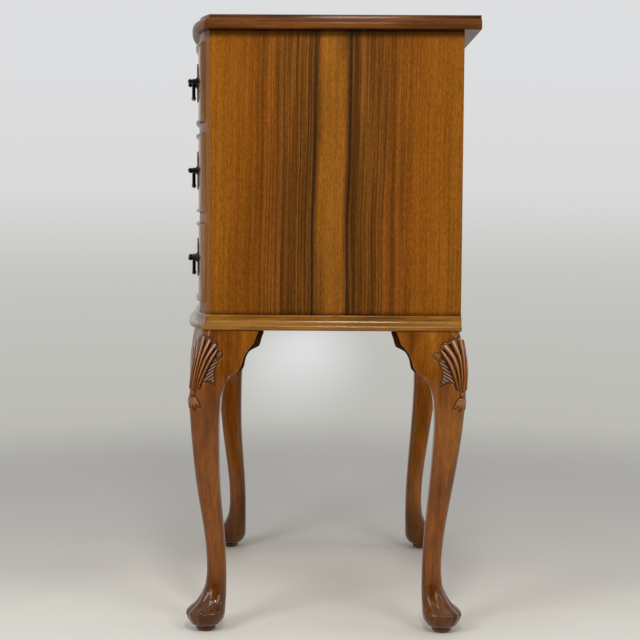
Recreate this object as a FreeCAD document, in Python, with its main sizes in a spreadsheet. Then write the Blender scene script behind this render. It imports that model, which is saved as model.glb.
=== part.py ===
import FreeCAD, Part
import math
import os

import Sketcher

# Bow-front chest of three drawers on cabriole legs.
# Millimetres, +Z up, width along X, the drawers face -Y, the floor is Z = 0.

doc = FreeCAD.newDocument("BowFrontChest")

SIZES = [
    # heights, from the floor up
    ("leg_length", "388"),
    ("base_height", "19"),
    ("carcase_height", "355"),
    ("top_thickness", "18"),
    # plan
    ("carcase_width", "468"),
    ("carcase_depth", "316"),
    ("bow_depth", "27.5"),
    ("bow_shoulder", "57"),
    ("bow_crown", "10.4"),
    # moulded edge of the top
    ("top_lip_reach", "9"),
    ("top_lip_height", "12"),
    ("top_lip_round", "7"),
    ("top_lip_under", "3"),
    ("top_rear_overhang", "20.5"),
    # base moulding: step, cove and half-round bead
    ("base_step", "5.5"),
    ("base_cove", "4.5"),
    ("base_bead", "8"),
    # carcase boards
    ("side_thickness", "18"),
    ("back_thickness", "6"),
    ("back_rebate", "9"),
    ("top_rail_height", "13"),
    ("divider_height", "12.5"),
    ("bottom_rail_height", "13.5"),
    ("rail_depth", "60"),
    ("back_rail_depth", "40"),
    ("runner_width", "20"),
    ("stop_inset", "124"),
    ("stop_width", "24"),
    ("stop_length", "12"),
    ("stop_height", "4"),
    ("stop_gap", "1.5"),
    # drawers
    ("drawer_gap", "0.8"),
    ("drawer_proud", "1.4"),
    ("front_thickness", "20"),
    ("bead_width", "3"),
    ("bead_projection", "3"),
    ("bead_rebate", "7"),
    ("drawer_length", "276"),
    ("drawer_board", "9"),
    ("drawer_side_drop", "4"),
    ("drawer_back_drop", "14"),
    ("bottom_panel", "4"),
    ("bottom_raise", "8"),
    ("bottom_groove", "4.5"),
    # pulls
    ("pull_inset", "98"),
    ("pull_raise", "4"),
    ("plate_width", "86"),
    ("plate_height", "50"),
    ("plate_thickness", "1.6"),
    ("plate_lift", "0.05"),
    ("post_spacing", "64"),
    ("post_radius", "3.2"),
    ("post_beyond", "2"),
    ("post_seat", "0.02"),
    ("neck_depth", "1.2"),
    ("neck_length", "0.3"),
    ("ball_radius", "3"),
    ("ball_flat", "0.4"),
    ("collar_rim", "1.8"),
    ("collar_height", "1.4"),
    ("shank_radius", "2"),
    ("shank_tail", "6.5"),
    ("shank_clearance", "0.1"),
    ("pivot_reach", "4.3"),
    ("pin_radius", "1.2"),
    ("pin_clearance", "0.3"),
    ("pin_reach", "7"),
    ("pin_root", "2"),
    ("bail_drop", "20"),
    ("bail_rod", "4.4"),
    ("bail_play", "0.6"),
    ("bail_stub", "2"),
    ("bail_bend", "4"),
    ("bail_sweep", "9"),
    ("grip_half", "11"),
    ("grip_swell", "0.9"),
    ("grip_sink", "0.2"),
    ("nut_radius", "4.6"),
    ("nut_thickness", "3"),
    ("nut_gap", "0.15"),
    # legs
    ("leg_inset", "8"),
    ("leg_front_reach", "6"),
    ("leg_back_inset", "19"),
    ("knee_setback_front", "6.5"),
    ("knee_setback_back", "1"),
    ("post_outer", "18.5"),
    ("post_inner", "25"),
    ("ear_length", "37"),
    ("ear_thickness", "24"),
    ("pad_radius", "12.5"),
    ("glide_radius", "6"),
    ("glide_height", "2"),
    ("block_height", "30"),
    ("block_width", "20"),
]

sizes = doc.addObject("Spreadsheet::Sheet", "Sizes")
for row, (alias, text) in enumerate(SIZES, start=1):
    sizes.set("A%d" % row, alias)
    sizes.set("B%d" % row, text)
    sizes.setAlias("B%d" % row, alias)
doc.recompute()

# Positions that follow from the sizes, each a formula in a sheet of its own.
WORKED = [
    ("z_base", "Sizes.leg_length"),
    ("z_carcase", "z_base + Sizes.base_height"),
    ("z_top", "z_carcase + Sizes.carcase_height"),
    ("z_end", "z_top + Sizes.top_thickness"),
    ("half", "Sizes.carcase_width / 2"),
    ("inner_half", "half - Sizes.side_thickness"),
    ("base_reach", "Sizes.base_step + Sizes.base_cove + Sizes.base_bead / 2"),
    (
        "depth",
        "base_reach + Sizes.bow_depth + Sizes.carcase_depth + Sizes.top_rear_overhang",
    ),
    ("y_front", "-depth / 2"),
    ("y_corner", "y_front + base_reach + Sizes.bow_depth"),
    ("y_back", "y_corner + Sizes.carcase_depth"),
    ("y_end", "depth / 2"),
    # the bow: a middle arc and two end arcs that run into it
    ("joint_x", "half - Sizes.bow_shoulder"),
    ("joint_rise", "Sizes.bow_depth - Sizes.bow_crown"),
    ("middle_r", "(joint_x ^ 2 + Sizes.bow_crown ^ 2) / (2 * Sizes.bow_crown)"),
    (
        "end_r",
        "(Sizes.bow_shoulder ^ 2 + joint_rise ^ 2) * middle_r"
        " / (2 * (joint_rise * (middle_r - Sizes.bow_crown) - joint_x * Sizes.bow_shoulder))",
    ),
    ("middle_y", "y_corner + middle_r - Sizes.bow_depth"),
    ("end_x", "joint_x * (1 - end_r / middle_r)"),
    ("end_y", "y_corner - joint_rise + end_r * (middle_r - Sizes.bow_crown) / middle_r"),
    # drawers
    (
        "opening",
        "(Sizes.carcase_height - Sizes.top_rail_height - Sizes.bottom_rail_height"
        " - 2 * Sizes.divider_height) / 3",
    ),
    ("opening_bottom", "z_carcase + Sizes.bottom_rail_height"),
    ("opening_middle", "opening_bottom + opening + Sizes.divider_height"),
    ("opening_top", "opening_middle + opening + Sizes.divider_height"),
    ("y_rail", "y_corner + Sizes.rail_depth"),
    ("y_panel", "y_back - Sizes.back_thickness"),
    ("drawer_half", "inner_half - Sizes.drawer_gap"),
    ("drawer_height", "opening - 2 * Sizes.drawer_gap"),
    ("y_drawer", "y_corner + Sizes.drawer_length"),
    # offsets of the bow, forward of the carcase front
    ("at_face", "Sizes.drawer_proud"),
    ("at_nose", "Sizes.drawer_proud + Sizes.bead_projection"),
    ("at_rebate", "Sizes.drawer_proud - Sizes.bead_rebate"),
    ("at_inside", "Sizes.drawer_proud - Sizes.front_thickness"),
    ("at_groove", "at_inside + Sizes.bottom_groove"),
    # pulls, on the middle arc of the drawer face
    ("pull_offset", "half - Sizes.pull_inset"),
    ("pull_y", "middle_y - sqrt((middle_r + at_face) ^ 2 - pull_offset ^ 2)"),
    ("pull_angle", "asin(pull_offset / (middle_r + at_face)) / 1deg"),
    ("nut_x", "Sizes.post_spacing / 2 + Sizes.nut_radius"),
    ("nut_sag", "middle_r + at_inside - sqrt((middle_r + at_inside) ^ 2 - nut_x ^ 2)"),
    ("nut_seat", "Sizes.front_thickness + nut_sag + Sizes.nut_gap"),
    ("pull_height", "drawer_height / 2 + Sizes.drawer_gap + Sizes.pull_raise"),
    # legs
    ("leg_x", "half - Sizes.leg_inset"),
    ("leg_front_y", "y_corner - Sizes.leg_front_reach"),
    ("leg_back_y", "y_back - Sizes.leg_back_inset"),
    ("post_front_y", "leg_front_y + Sizes.knee_setback_front"),
    ("post_back_y", "leg_back_y - Sizes.knee_setback_back"),
]

worked = doc.addObject("Spreadsheet::Sheet", "Worked")
for row, (alias, formula) in enumerate(WORKED, start=1):
    worked.set("A%d" % row, alias)
    worked.set("B%d" % row, "=" + formula)
    worked.setAlias("B%d" % row, alias)
    doc.recompute()


def value(expression):
    """The number that an expression on the two sheets comes to."""
    return float(sizes.evalExpression(expression))


def bind(thing, path, expression):
    """Ties a property of a document object to an expression on the sheets."""
    thing.setExpression(path, expression)


# Building blocks


def box(name, x, y, z):
    """A board from a start and an end expression along each axis."""
    thing = doc.addObject("Part::Box", name)
    for path, (start, end) in (("Length", x), ("Width", y), ("Height", z)):
        bind(thing, path, "(%s) - (%s)" % (end, start))
    for path, (start, end) in (("x", x), ("y", y), ("z", z)):
        bind(thing, "Placement.Base." + path, start)
    return thing


def rod(name, radius, length, x, y, z, pitch=0.0, axis=(1, 0, 0)):
    """A cylinder from its base centre, along +Z unless it is turned."""
    thing = doc.addObject("Part::Cylinder", name)
    thing.Placement = FreeCAD.Placement(
        FreeCAD.Vector(0, 0, 0),
        FreeCAD.Rotation(FreeCAD.Vector(*axis), pitch),
    )
    bind(thing, "Radius", radius)
    bind(thing, "Height", length)
    bind(thing, "Placement.Base.x", x)
    bind(thing, "Placement.Base.y", y)
    bind(thing, "Placement.Base.z", z)
    return thing


def common(name, first, second):
    """What two objects share."""
    thing = doc.addObject("Part::Common", name)
    thing.Base = first
    thing.Tool = second
    return thing


def cut(name, first, second):
    """The first object less the second."""
    thing = doc.addObject("Part::Cut", name)
    thing.Base = first
    thing.Tool = second
    return thing


def fuse(name, things):
    """Several objects as one solid."""
    thing = doc.addObject("Part::MultiFuse", name)
    thing.Shapes = things
    return thing


def group(name, things):
    """Several separate solids in one piece."""
    thing = doc.addObject("Part::Compound", name)
    thing.Links = things
    return thing


def placed(name, thing, x, y, z, angle="0"):
    """A copy of an object, turned about Z and moved."""
    copy = group(name, [thing])
    copy.Placement = FreeCAD.Placement(
        FreeCAD.Vector(0, 0, 0),
        FreeCAD.Rotation(FreeCAD.Vector(0, 0, 1), 1.0),
    )
    bind(copy, "Placement.Rotation.Angle", angle)
    bind(copy, "Placement.Base.x", x)
    bind(copy, "Placement.Base.y", y)
    bind(copy, "Placement.Base.z", z)
    return copy


def outline(sketch, points, closed=True):
    """Draws lines and arcs through points and ties every one to the sheets.

    Each point is (x, y, radius): radius is None for a line on to the next point, or an expression
    for an arc, positive when it turns anticlockwise and marked "-" when it turns clockwise.
    """
    spots = [FreeCAD.Vector(value(x), value(y), 0) for x, y, _ in points]
    count = len(points) if closed else len(points) - 1
    for index in range(count):
        start = spots[index]
        end = spots[(index + 1) % len(spots)]
        radius = points[index][2]
        if radius is None:
            sketch.addGeometry(Part.LineSegment(start, end), False)
            continue
        clockwise = radius.startswith("-")
        size = value(radius.lstrip("-"))
        chord = end.sub(start)
        half = chord.Length / 2
        rise = math.sqrt(max(size * size - half * half, 0.0))
        side = FreeCAD.Vector(-chord.y, chord.x, 0).normalize()
        centre = start.add(chord.multiply(0.5))
        centre = centre.add(side.multiply(-rise if clockwise else rise))
        first, last = (end, start) if clockwise else (start, end)
        begin = math.atan2(first.y - centre.y, first.x - centre.x)
        finish = math.atan2(last.y - centre.y, last.x - centre.x)
        if finish < begin:
            finish += 2 * math.pi
        circle = Part.Circle(centre, FreeCAD.Vector(0, 0, 1), size)
        sketch.addGeometry(Part.ArcOfCircle(circle, begin, finish), False)

    def ends(index):
        radius = points[index][2]
        return (2, 1) if radius is not None and radius.startswith("-") else (1, 2)

    for index in range(count):
        begin, finish = ends(index)
        follow = (index + 1) % count
        if closed or index + 1 < count:
            sketch.addConstraint(
                Sketcher.Constraint("Coincident", index, finish, follow, ends(follow)[0])
            )
    for index in range(len(points)):
        if index < count:
            where = (index, ends(index)[0])
        else:
            where = (index - 1, ends(index - 1)[1])
        for kind, text in (("DistanceX", points[index][0]), ("DistanceY", points[index][1])):
            place = sketch.addConstraint(
                Sketcher.Constraint(kind, -1, 1, where[0], where[1], value(text))
            )
            bind(sketch, "Constraints[%d]" % place, text)
    for index in range(count):
        radius = points[index][2]
        if radius is not None:
            text = radius.lstrip("-")
            place = sketch.addConstraint(Sketcher.Constraint("Radius", index, value(text)))
            bind(sketch, "Constraints[%d]" % place, text)


def body(name):
    """An empty body."""
    return doc.addObject("PartDesign::Body", name)


def plane(owner, role):
    """One of a body's own origin planes."""
    for feature in owner.Origin.OriginFeatures:
        if feature.Role == role:
            return feature
    raise ValueError(role)


def sketch_on(owner, name, role, lift="0"):
    """A sketch on an origin plane of its body, lifted along the plane's normal."""
    sketch = owner.newObject("Sketcher::SketchObject", name)
    sketch.AttachmentSupport = [(plane(owner, role), "")]
    sketch.MapMode = "FlatFace"
    if lift != "0":
        bind(sketch, "AttachmentOffset.Base.z", lift)
    return sketch


# The bow


def bow_y(offset, x):
    """Expression for the Y of the end arc at x, the bow moved forward by offset."""
    return "Worked.end_y - sqrt((Worked.end_r + (%s)) ^ 2 - ((%s) - Worked.end_x) ^ 2)" % (offset, x)


def bow_points(offset, half, rear):
    """The plan from the left rear corner forward, across the bow and back to the right rear."""
    joint_x = "Worked.joint_x * (1 + (%s) / Worked.middle_r)" % offset
    joint_y = (
        "Worked.middle_y - (Worked.middle_r - Sizes.bow_crown) * (1 + (%s) / Worked.middle_r)" % offset
    )
    end_r = "Worked.end_r + (%s)" % offset
    middle_r = "Worked.middle_r + (%s)" % offset
    corner = bow_y(offset, half)
    return [
        ("-(%s)" % half, rear, None),
        ("-(%s)" % half, corner, end_r),
        ("-(%s)" % joint_x, joint_y, middle_r),
        (joint_x, joint_y, end_r),
        (half, corner, None),
        (half, rear, None),
    ]


def bow_block(name, offset):
    """A full-height block whose front is the bow moved forward by offset."""
    sketch = doc.addObject("Sketcher::SketchObject", name + "_plan")
    outline(sketch, bow_points(offset, "Worked.half", "Worked.y_back"))
    block = doc.addObject("Part::Extrusion", name)
    block.Base = sketch
    block.DirMode = "Custom"
    block.Dir = FreeCAD.Vector(0, 0, 1)
    block.Solid = True
    bind(block, "LengthFwd", "Worked.z_end")
    return block


carcase_block = bow_block("carcase_block", "0")
face_block = bow_block("face_block", "Worked.at_face")
nose_block = bow_block("nose_block", "Worked.at_nose")
rebate_block = bow_block("rebate_block", "Worked.at_rebate")
inside_block = bow_block("inside_block", "Worked.at_inside")
groove_block = bow_block("groove_block", "Worked.at_groove")

nodes = []


def node(name, thing):
    """Names a finished piece and lists it for export."""
    thing.Label = name
    nodes.append(thing)
    return thing


# Moulded edges: a straight length for each side and one swept along the bow, mitred at the corners

SPREAD = "Worked.half + 2 * Worked.base_reach"


def moulding(sketch, profile, place, mirrored=False):
    """Draws a profile of (reach, height, radius) rows; place turns a reach into the sketch's X."""
    rows = []
    for reach, height, radius in profile:
        if mirrored and radius is not None:
            radius = radius[1:] if radius.startswith("-") else "-" + radius
        rows.append((place(reach), height, radius))
    outline(sketch, rows)


def swept_front(owner, name, profile):
    """Sweeps a profile, drawn at the crest, along the bow carried on past both corners."""
    path = sketch_on(owner, name + "_path", "XY_Plane")
    outline(path, bow_points("0", SPREAD, "0")[1:5], closed=False)
    section = sketch_on(owner, name + "_section", "YZ_Plane")
    moulding(section, profile, lambda reach: "Worked.y_corner - Sizes.bow_depth - (%s)" % reach)
    doc.recompute()
    edge = owner.newObject("PartDesign::AdditivePipe", name)
    edge.Profile = section
    edge.Spine = (path, ["Edge1", "Edge2", "Edge3"])
    return edge


def straight_side(owner, name, profile, sign, rear):
    """Runs a profile along one side, from its rear end to past the front corner."""
    section = sketch_on(owner, name + "_section", "XZ_Plane", "-(%s)" % rear)
    moulding(section, profile, lambda reach: "%s(Worked.half + (%s))" % (sign, reach), sign == "")
    pad = owner.newObject("PartDesign::Pad", name)
    pad.Profile = section
    bind(pad, "Length", "(%s) - Worked.y_front" % rear)
    return pad


# The mitre halves the corner between a side and the end of the bow.
TURN = "(45 - asin((Worked.half - Worked.end_x) / Worked.end_r) / 2deg)"
MITRE = "tan(%s * 1deg)" % TURN
REACH = "(2 * Worked.base_reach)"
OUT = "Worked.y_corner - %s * %s" % (REACH, MITRE)
IN = "Worked.y_corner + %s * %s" % (REACH, MITRE)
FORWARD = "Worked.y_front - %s" % REACH
wedge_plan = doc.addObject("Sketcher::SketchObject", "wedge_plan")
outline(
    wedge_plan,
    [
        ("-Worked.half - %s" % REACH, OUT, None),
        ("-Worked.half - %s" % REACH, FORWARD, None),
        ("Worked.half + %s" % REACH, FORWARD, None),
        ("Worked.half + %s" % REACH, OUT, None),
        ("Worked.half", "Worked.y_corner", None),
        ("Worked.half - %s" % REACH, IN, None),
        ("-Worked.half + %s" % REACH, IN, None),
        ("-Worked.half", "Worked.y_corner", None),
    ],
)
wedge = doc.addObject("Part::Extrusion", "front_wedge")
wedge.Base = wedge_plan
wedge.DirMode = "Custom"
wedge.Dir = FreeCAD.Vector(0, 0, 1)
wedge.Solid = True
bind(wedge, "LengthFwd", "Worked.z_end")


def mitred(name, profile, rear):
    """The front, left and right lengths of a moulding, mitred to one another."""
    front = body(name + "_front_run")
    swept_front(front, name + "_front_edge", profile)
    lengths = [common(name + "_front", front, wedge)]
    for side, sign in (("left", "-"), ("right", "")):
        run = body("%s_%s_run" % (name, side))
        straight_side(run, "%s_%s_edge" % (name, side), profile, sign, rear)
        lengths.append(cut("%s_%s" % (name, side), run, wedge))
    return lengths


# The top is what two moulded slabs share: one shaped along its bow, one along both sides.
LIP_TOP = "Worked.z_top + Sizes.top_lip_height"
LIP_LOW = LIP_TOP + " - Sizes.top_lip_round"
UNDER = "Worked.z_top + Sizes.top_lip_under"
LIP_IN = "Sizes.top_lip_reach - Sizes.top_lip_round"
LIP_FOOT = "Sizes.top_lip_reach - Sizes.top_lip_under"
TOP_EDGE = [
    ("-2", "Worked.z_top", None),
    ("-2", LIP_TOP, None),
    (LIP_IN, LIP_TOP, "Sizes.top_lip_round"),
    ("Sizes.top_lip_reach", LIP_LOW, None),
    ("Sizes.top_lip_reach", UNDER, "Sizes.top_lip_under"),
    (LIP_FOOT, "Worked.z_top", None),
]
top_core = body("top_core")
top_plan = sketch_on(top_core, "top_plan", "XY_Plane", "Worked.z_top")
outline(top_plan, bow_points("0", SPREAD, "Worked.y_end"))
top_pad = top_core.newObject("PartDesign::Pad", "top_pad")
top_pad.Profile = top_plan
bind(top_pad, "Length", "Sizes.top_thickness")
top_front = body("top_front")
swept_front(top_front, "top_front_edge", TOP_EDGE)
top_slab = body("top_slab")
top_section = sketch_on(top_slab, "top_section", "XZ_Plane", "-Worked.y_end")
outline(
    top_section,
    [
        ("-Worked.half - (%s)" % LIP_FOOT, "Worked.z_top", None),
        ("Worked.half + %s" % LIP_FOOT, "Worked.z_top", "Sizes.top_lip_under"),
        ("Worked.half + Sizes.top_lip_reach", UNDER, None),
        ("Worked.half + Sizes.top_lip_reach", LIP_LOW, "Sizes.top_lip_round"),
        ("Worked.half + %s" % LIP_IN, LIP_TOP, None),
        ("Worked.half", LIP_TOP, None),
        ("Worked.half", "Worked.z_end", None),
        ("-Worked.half", "Worked.z_end", None),
        ("-Worked.half", LIP_TOP, None),
        ("-Worked.half - (%s)" % LIP_IN, LIP_TOP, "Sizes.top_lip_round"),
        ("-Worked.half - Sizes.top_lip_reach", LIP_LOW, None),
        ("-Worked.half - Sizes.top_lip_reach", UNDER, "Sizes.top_lip_under"),
    ],
)
top_run = top_slab.newObject("PartDesign::Pad", "top_run")
top_run.Profile = top_section
bind(top_run, "Length", "Worked.depth + " + REACH)
node("top_board", common("top_solid", fuse("top_bowed", [top_core, top_front]), top_slab))

BEAD_TOP = "Worked.z_base + Sizes.base_bead"
BASE_EDGE = [
    ("0", "Worked.z_base", None),
    ("0", "Worked.z_carcase", None),
    ("Sizes.base_step", "Worked.z_carcase", None),
    ("Sizes.base_step", BEAD_TOP + " + Sizes.base_cove", "-Sizes.base_cove"),
    ("Sizes.base_step + Sizes.base_cove", BEAD_TOP, "Sizes.base_bead / 2"),
    ("Worked.base_reach", "Worked.z_base + Sizes.base_bead / 2", "Sizes.base_bead / 2"),
    ("Sizes.base_step + Sizes.base_cove", "Worked.z_base", None),
]
for side, length in zip(("front", "left", "right"), mitred("base", BASE_EDGE, "Worked.y_back")):
    node("base_moulding_" + side, length)

# Carcase boards

node(
    "base_board",
    common(
        "base_plate",
        box(
            "base_room",
            ("-Worked.half", "Worked.half"),
            ("Worked.y_front", "Worked.y_back"),
            ("Worked.z_base", "Worked.z_carcase"),
        ),
        carcase_block,
    ),
)
for name, sign in (("left", -1), ("right", 1)):
    reach = ("-Worked.half", "-Worked.inner_half") if sign < 0 else ("Worked.inner_half", "Worked.half")
    board = common(
        "side_board_" + name,
        box(
            "side_room_" + name,
            reach,
            ("Worked.y_front", "Worked.y_back"),
            ("Worked.z_carcase", "Worked.z_top"),
        ),
        carcase_block,
    )
    rebate = (
        ("-Worked.inner_half - Sizes.back_rebate", "0")
        if sign < 0
        else ("0", "Worked.inner_half + Sizes.back_rebate")
    )
    slot = box(
        "side_slot_" + name,
        rebate,
        ("Worked.y_panel", "Worked.y_end"),
        ("Worked.z_carcase - 1", "Worked.z_top + 1"),
    )
    node("side_" + name, cut("side_cut_" + name, board, slot))
node(
    "back_panel",
    box(
        "back_board",
        ("-Worked.inner_half - Sizes.back_rebate", "Worked.inner_half + Sizes.back_rebate"),
        ("Worked.y_panel", "Worked.y_back"),
        ("Worked.z_carcase", "Worked.z_top"),
    ),
)

RAILS = [
    ("rail_bottom", "Worked.z_carcase", "Worked.opening_bottom"),
    ("divider_lower", "Worked.opening_bottom + Worked.opening", "Worked.opening_middle"),
    ("divider_upper", "Worked.opening_middle + Worked.opening", "Worked.opening_top"),
    ("rail_top", "Worked.opening_top + Worked.opening", "Worked.z_top"),
]
INSIDE = ("-Worked.inner_half", "Worked.inner_half")
for name, low, high in RAILS:
    strip = box(name + "_room", INSIDE, ("Worked.y_front", "Worked.y_rail"), (low, high))
    node(name, common(name + "_bowed", strip, carcase_block))
node(
    "rail_back_top",
    box(
        "rail_back",
        INSIDE,
        ("Worked.y_panel - Sizes.back_rail_depth", "Worked.y_panel"),
        ("Worked.z_top - Sizes.top_rail_height", "Worked.z_top"),
    ),
)

LEFT_STRIP = ("-Worked.inner_half", "-Worked.inner_half + Sizes.runner_width")
RIGHT_STRIP = ("Worked.inner_half - Sizes.runner_width", "Worked.inner_half")
runners = []
for name, low, high in RAILS[:3]:
    for side, strip in (("left", LEFT_STRIP), ("right", RIGHT_STRIP)):
        runners.append(
            box("runner_%s_%s" % (name, side), strip, ("Worked.y_rail", "Worked.y_panel"), (low, high))
        )
node("drawer_runners", group("runner_set", runners))
kickers = [
    box(
        "kicker_" + side,
        strip,
        ("Worked.y_rail", "Worked.y_panel - Sizes.back_rail_depth"),
        ("Worked.z_top - Sizes.top_rail_height", "Worked.z_top"),
    )
    for side, strip in (("left", LEFT_STRIP), ("right", RIGHT_STRIP))
]
node("drawer_kickers", group("kicker_set", kickers))

# Stops, glued to the rails just behind the drawer fronts
STOP_X = "(Worked.half - Sizes.stop_inset)"
STOP_Y = "Worked.middle_y - sqrt((Worked.middle_r + Worked.at_inside) ^ 2 - %s ^ 2) + Sizes.stop_gap" % STOP_X
stops = []
for name, low, high in RAILS[:3]:
    for side, sign in (("left", "-"), ("right", "")):
        x = "%s%s - Sizes.stop_width / 2" % (sign, STOP_X)
        stops.append(
            box(
                "stop_%s_%s" % (name, side),
                (x, x + " + Sizes.stop_width"),
                (STOP_Y, STOP_Y + " + Sizes.stop_length"),
                (high, high + " + Sizes.stop_height"),
            )
        )
node("drawer_stops", group("stop_set", stops))

# Cabriole legs
# Each row is a height in parts of the leg length, how far the leg stands out from its middle towards the corner
# and in from it (the same along X and Y), and the rounding of its outer, side and inner corners.
# Between LEAN_LOW and LEAN_HIGH the middle moves from over the foot to under the post.

OUTER = value("Sizes.post_outer")
INNER = value("Sizes.post_inner")
LEAN_LOW = 0.40
LEAN_HIGH = 0.77
KNEE = [
    (1.000, OUTER, INNER, 11.0, 1.5, 1.5),
    (0.959, 21.8, INNER, 12.0, 1.5, 1.5),
    (0.907, 25.4, INNER, 12.5, 1.5, 1.5),
    (0.850, 27.0, 24.6, 12.5, 2.0, 2.0),
]
SHAFT = [
    (0.850, 27.0, 24.6, 12.5, 2.0, 2.0),
    (0.814, 26.8, 17.6, 12.0, 4.0, 3.0),
    (0.768, 26.2, 13.4, 11.5, 6.0, 5.0),
    (0.696, 24.0, 12.3, 11.0, 8.0, 8.0),
    (0.608, 19.6, 13.8, 10.0, 9.0, 9.0),
    (0.515, 14.0, 16.6, 10.0, 9.5, 9.5),
    (0.425, 8.3, 19.8, 10.0, 10.0, 10.0),
    (0.335, 3.2, 22.6, 10.0, 10.0, 10.0),
    (0.258, 0.2, 24.6, 10.2, 10.2, 10.2),
    (0.201, -0.5, 25.4, 10.4, 10.4, 10.4),
    (0.155, 0.8, 25.5, 11.0, 11.0, 11.0),
    (0.124, 4.2, 25.4, 12.5, 12.5, 12.5),
    (0.098, 11.0, 25.2, 16.0, 16.0, 16.0),
    (0.077, 18.4, 25.0, 19.5, 19.5, 19.5),
    (0.063, 23.4, 24.8, 22.0, 22.0, 22.0),
]
FOOT = [
    (0.063, 23.4, 24.8, 22.0, 22.0, 22.0),
    (0.050, 24.2, 24.2, 22.5, 22.5, 22.5),
    (0.035, 22.4, 21.8, 20.5, 20.5, 20.5),
    (0.024, 18.2, 17.6, 16.8, 16.8, 16.8),
    (0.017, 13.2, 13.2, 12.4, 12.4, 12.4),
]


def leg_section(row, across, along, foot, post):
    """A rounded square across the leg, its outer corner turned to the corner of the chest."""
    height, outer, inner, corner, side, inside = row
    level = height * value("Sizes.leg_length")
    lean = min(max((height - LEAN_LOW) / (LEAN_HIGH - LEAN_LOW), 0.0), 1.0)
    middle_y = foot[1] + (post[1] - foot[1]) * (1 - math.cos(math.pi * lean)) / 2

    def spot(a, b):
        return FreeCAD.Vector(foot[0] + across * a, middle_y + along * b, level)

    corners = [
        (outer, outer, corner, -1, -1),
        (-inner, outer, side, 1, -1),
        (-inner, -inner, inside, 1, 1),
        (outer, -inner, side, -1, 1),
    ]
    bend = math.sqrt(0.5)
    arcs = []
    for a, b, radius, da, db in corners:
        middle = (a + da * radius, b + db * radius)
        toward_a = (a + da * radius * (1 - bend), b + db * radius * (1 - bend))
        on_a = spot(a, middle[1])
        on_b = spot(middle[0], b)
        arcs.append((on_a, spot(*toward_a), on_b))
    order = [
        arcs[0],
        (arcs[1][2], arcs[1][1], arcs[1][0]),
        arcs[2],
        (arcs[3][2], arcs[3][1], arcs[3][0]),
    ]
    edges = []
    for index in range(4):
        first, through, last = order[index]
        follow = order[(index + 1) % 4][0]
        edges.append(Part.Arc(first, through, last).toShape())
        edges.append(Part.LineSegment(last, follow).toShape())
    return Part.Wire(edges)


def leg_shape(across, along, foot, post):
    """The whole leg: knee and post, shaft, flared foot and the turned pad under it."""
    shapes = []
    for rows in (KNEE, SHAFT, FOOT):
        wires = [leg_section(row, across, along, foot, post) for row in rows]
        shapes.append(Part.makeLoft(wires, True, False))
    low = value("Sizes.glide_height")
    high = FOOT[-1][0] * value("Sizes.leg_length")
    pad = Part.makeCylinder(
        value("Sizes.pad_radius"),
        high - low,
        FreeCAD.Vector(foot[0], foot[1], low),
    )
    whole = shapes[0].fuse(shapes[1:] + [pad])
    return whole.removeSplitter()


def ear_shape(across, along, centre, turned):
    """One knee bracket, shaped to the knee where it meets the leg and flat at its far end."""
    length = value("Sizes.ear_length")
    top_level = value("Sizes.leg_length")
    deep = value("Sizes.ear_thickness")
    clear = 2 * deep

    def spot(out, reach, level):
        if turned:
            return FreeCAD.Vector(centre[0] - across * reach, centre[1] + along * out, level)
        return FreeCAD.Vector(centre[0] + across * out, centre[1] - along * reach, level)

    def section(reach, bulge):
        low = top_level * 0.84
        first = spot(OUTER, reach, top_level)
        through = spot(OUTER + 5.9 * bulge, reach, top_level * 0.925)
        last = spot(OUTER + 8.5 * bulge, reach, low)
        back_low = spot(OUTER - deep, reach, low)
        back_high = spot(OUTER - deep, reach, top_level)
        return Part.Wire(
            [
                Part.Arc(first, through, last).toShape(),
                Part.LineSegment(last, back_low).toShape(),
                Part.LineSegment(back_low, back_high).toShape(),
                Part.LineSegment(back_high, first).toShape(),
            ]
        )

    solid = Part.makeLoft([section(INNER, 1.0), section(INNER + length, 0.25)], True, True)
    corner = [
        (INNER, top_level + 1),
        (INNER + length, top_level + 1),
        (INNER + length, top_level * 0.975),
    ]
    rise = [
        (INNER + length * 0.64, top_level * 0.936),
        (INNER + length * 0.40, top_level * 0.885),
    ]
    step = [
        (INNER + length * 0.20, top_level * 0.862),
        (INNER, top_level * 0.851),
    ]
    points = [spot(clear, reach, level) for reach, level in corner]
    bends = [spot(clear, reach, level) for reach, level in rise + step]
    profile = Part.Wire(
        [
            Part.LineSegment(points[0], points[1]).toShape(),
            Part.LineSegment(points[1], points[2]).toShape(),
            Part.Arc(points[2], bends[0], bends[1]).toShape(),
            Part.Arc(bends[1], bends[2], bends[3]).toShape(),
            Part.LineSegment(bends[3], points[0]).toShape(),
        ]
    )
    far = spot(-clear, 0.0, 0.0).sub(spot(clear, 0.0, 0.0))
    return solid.common(Part.Face(profile).extrude(far))


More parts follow.
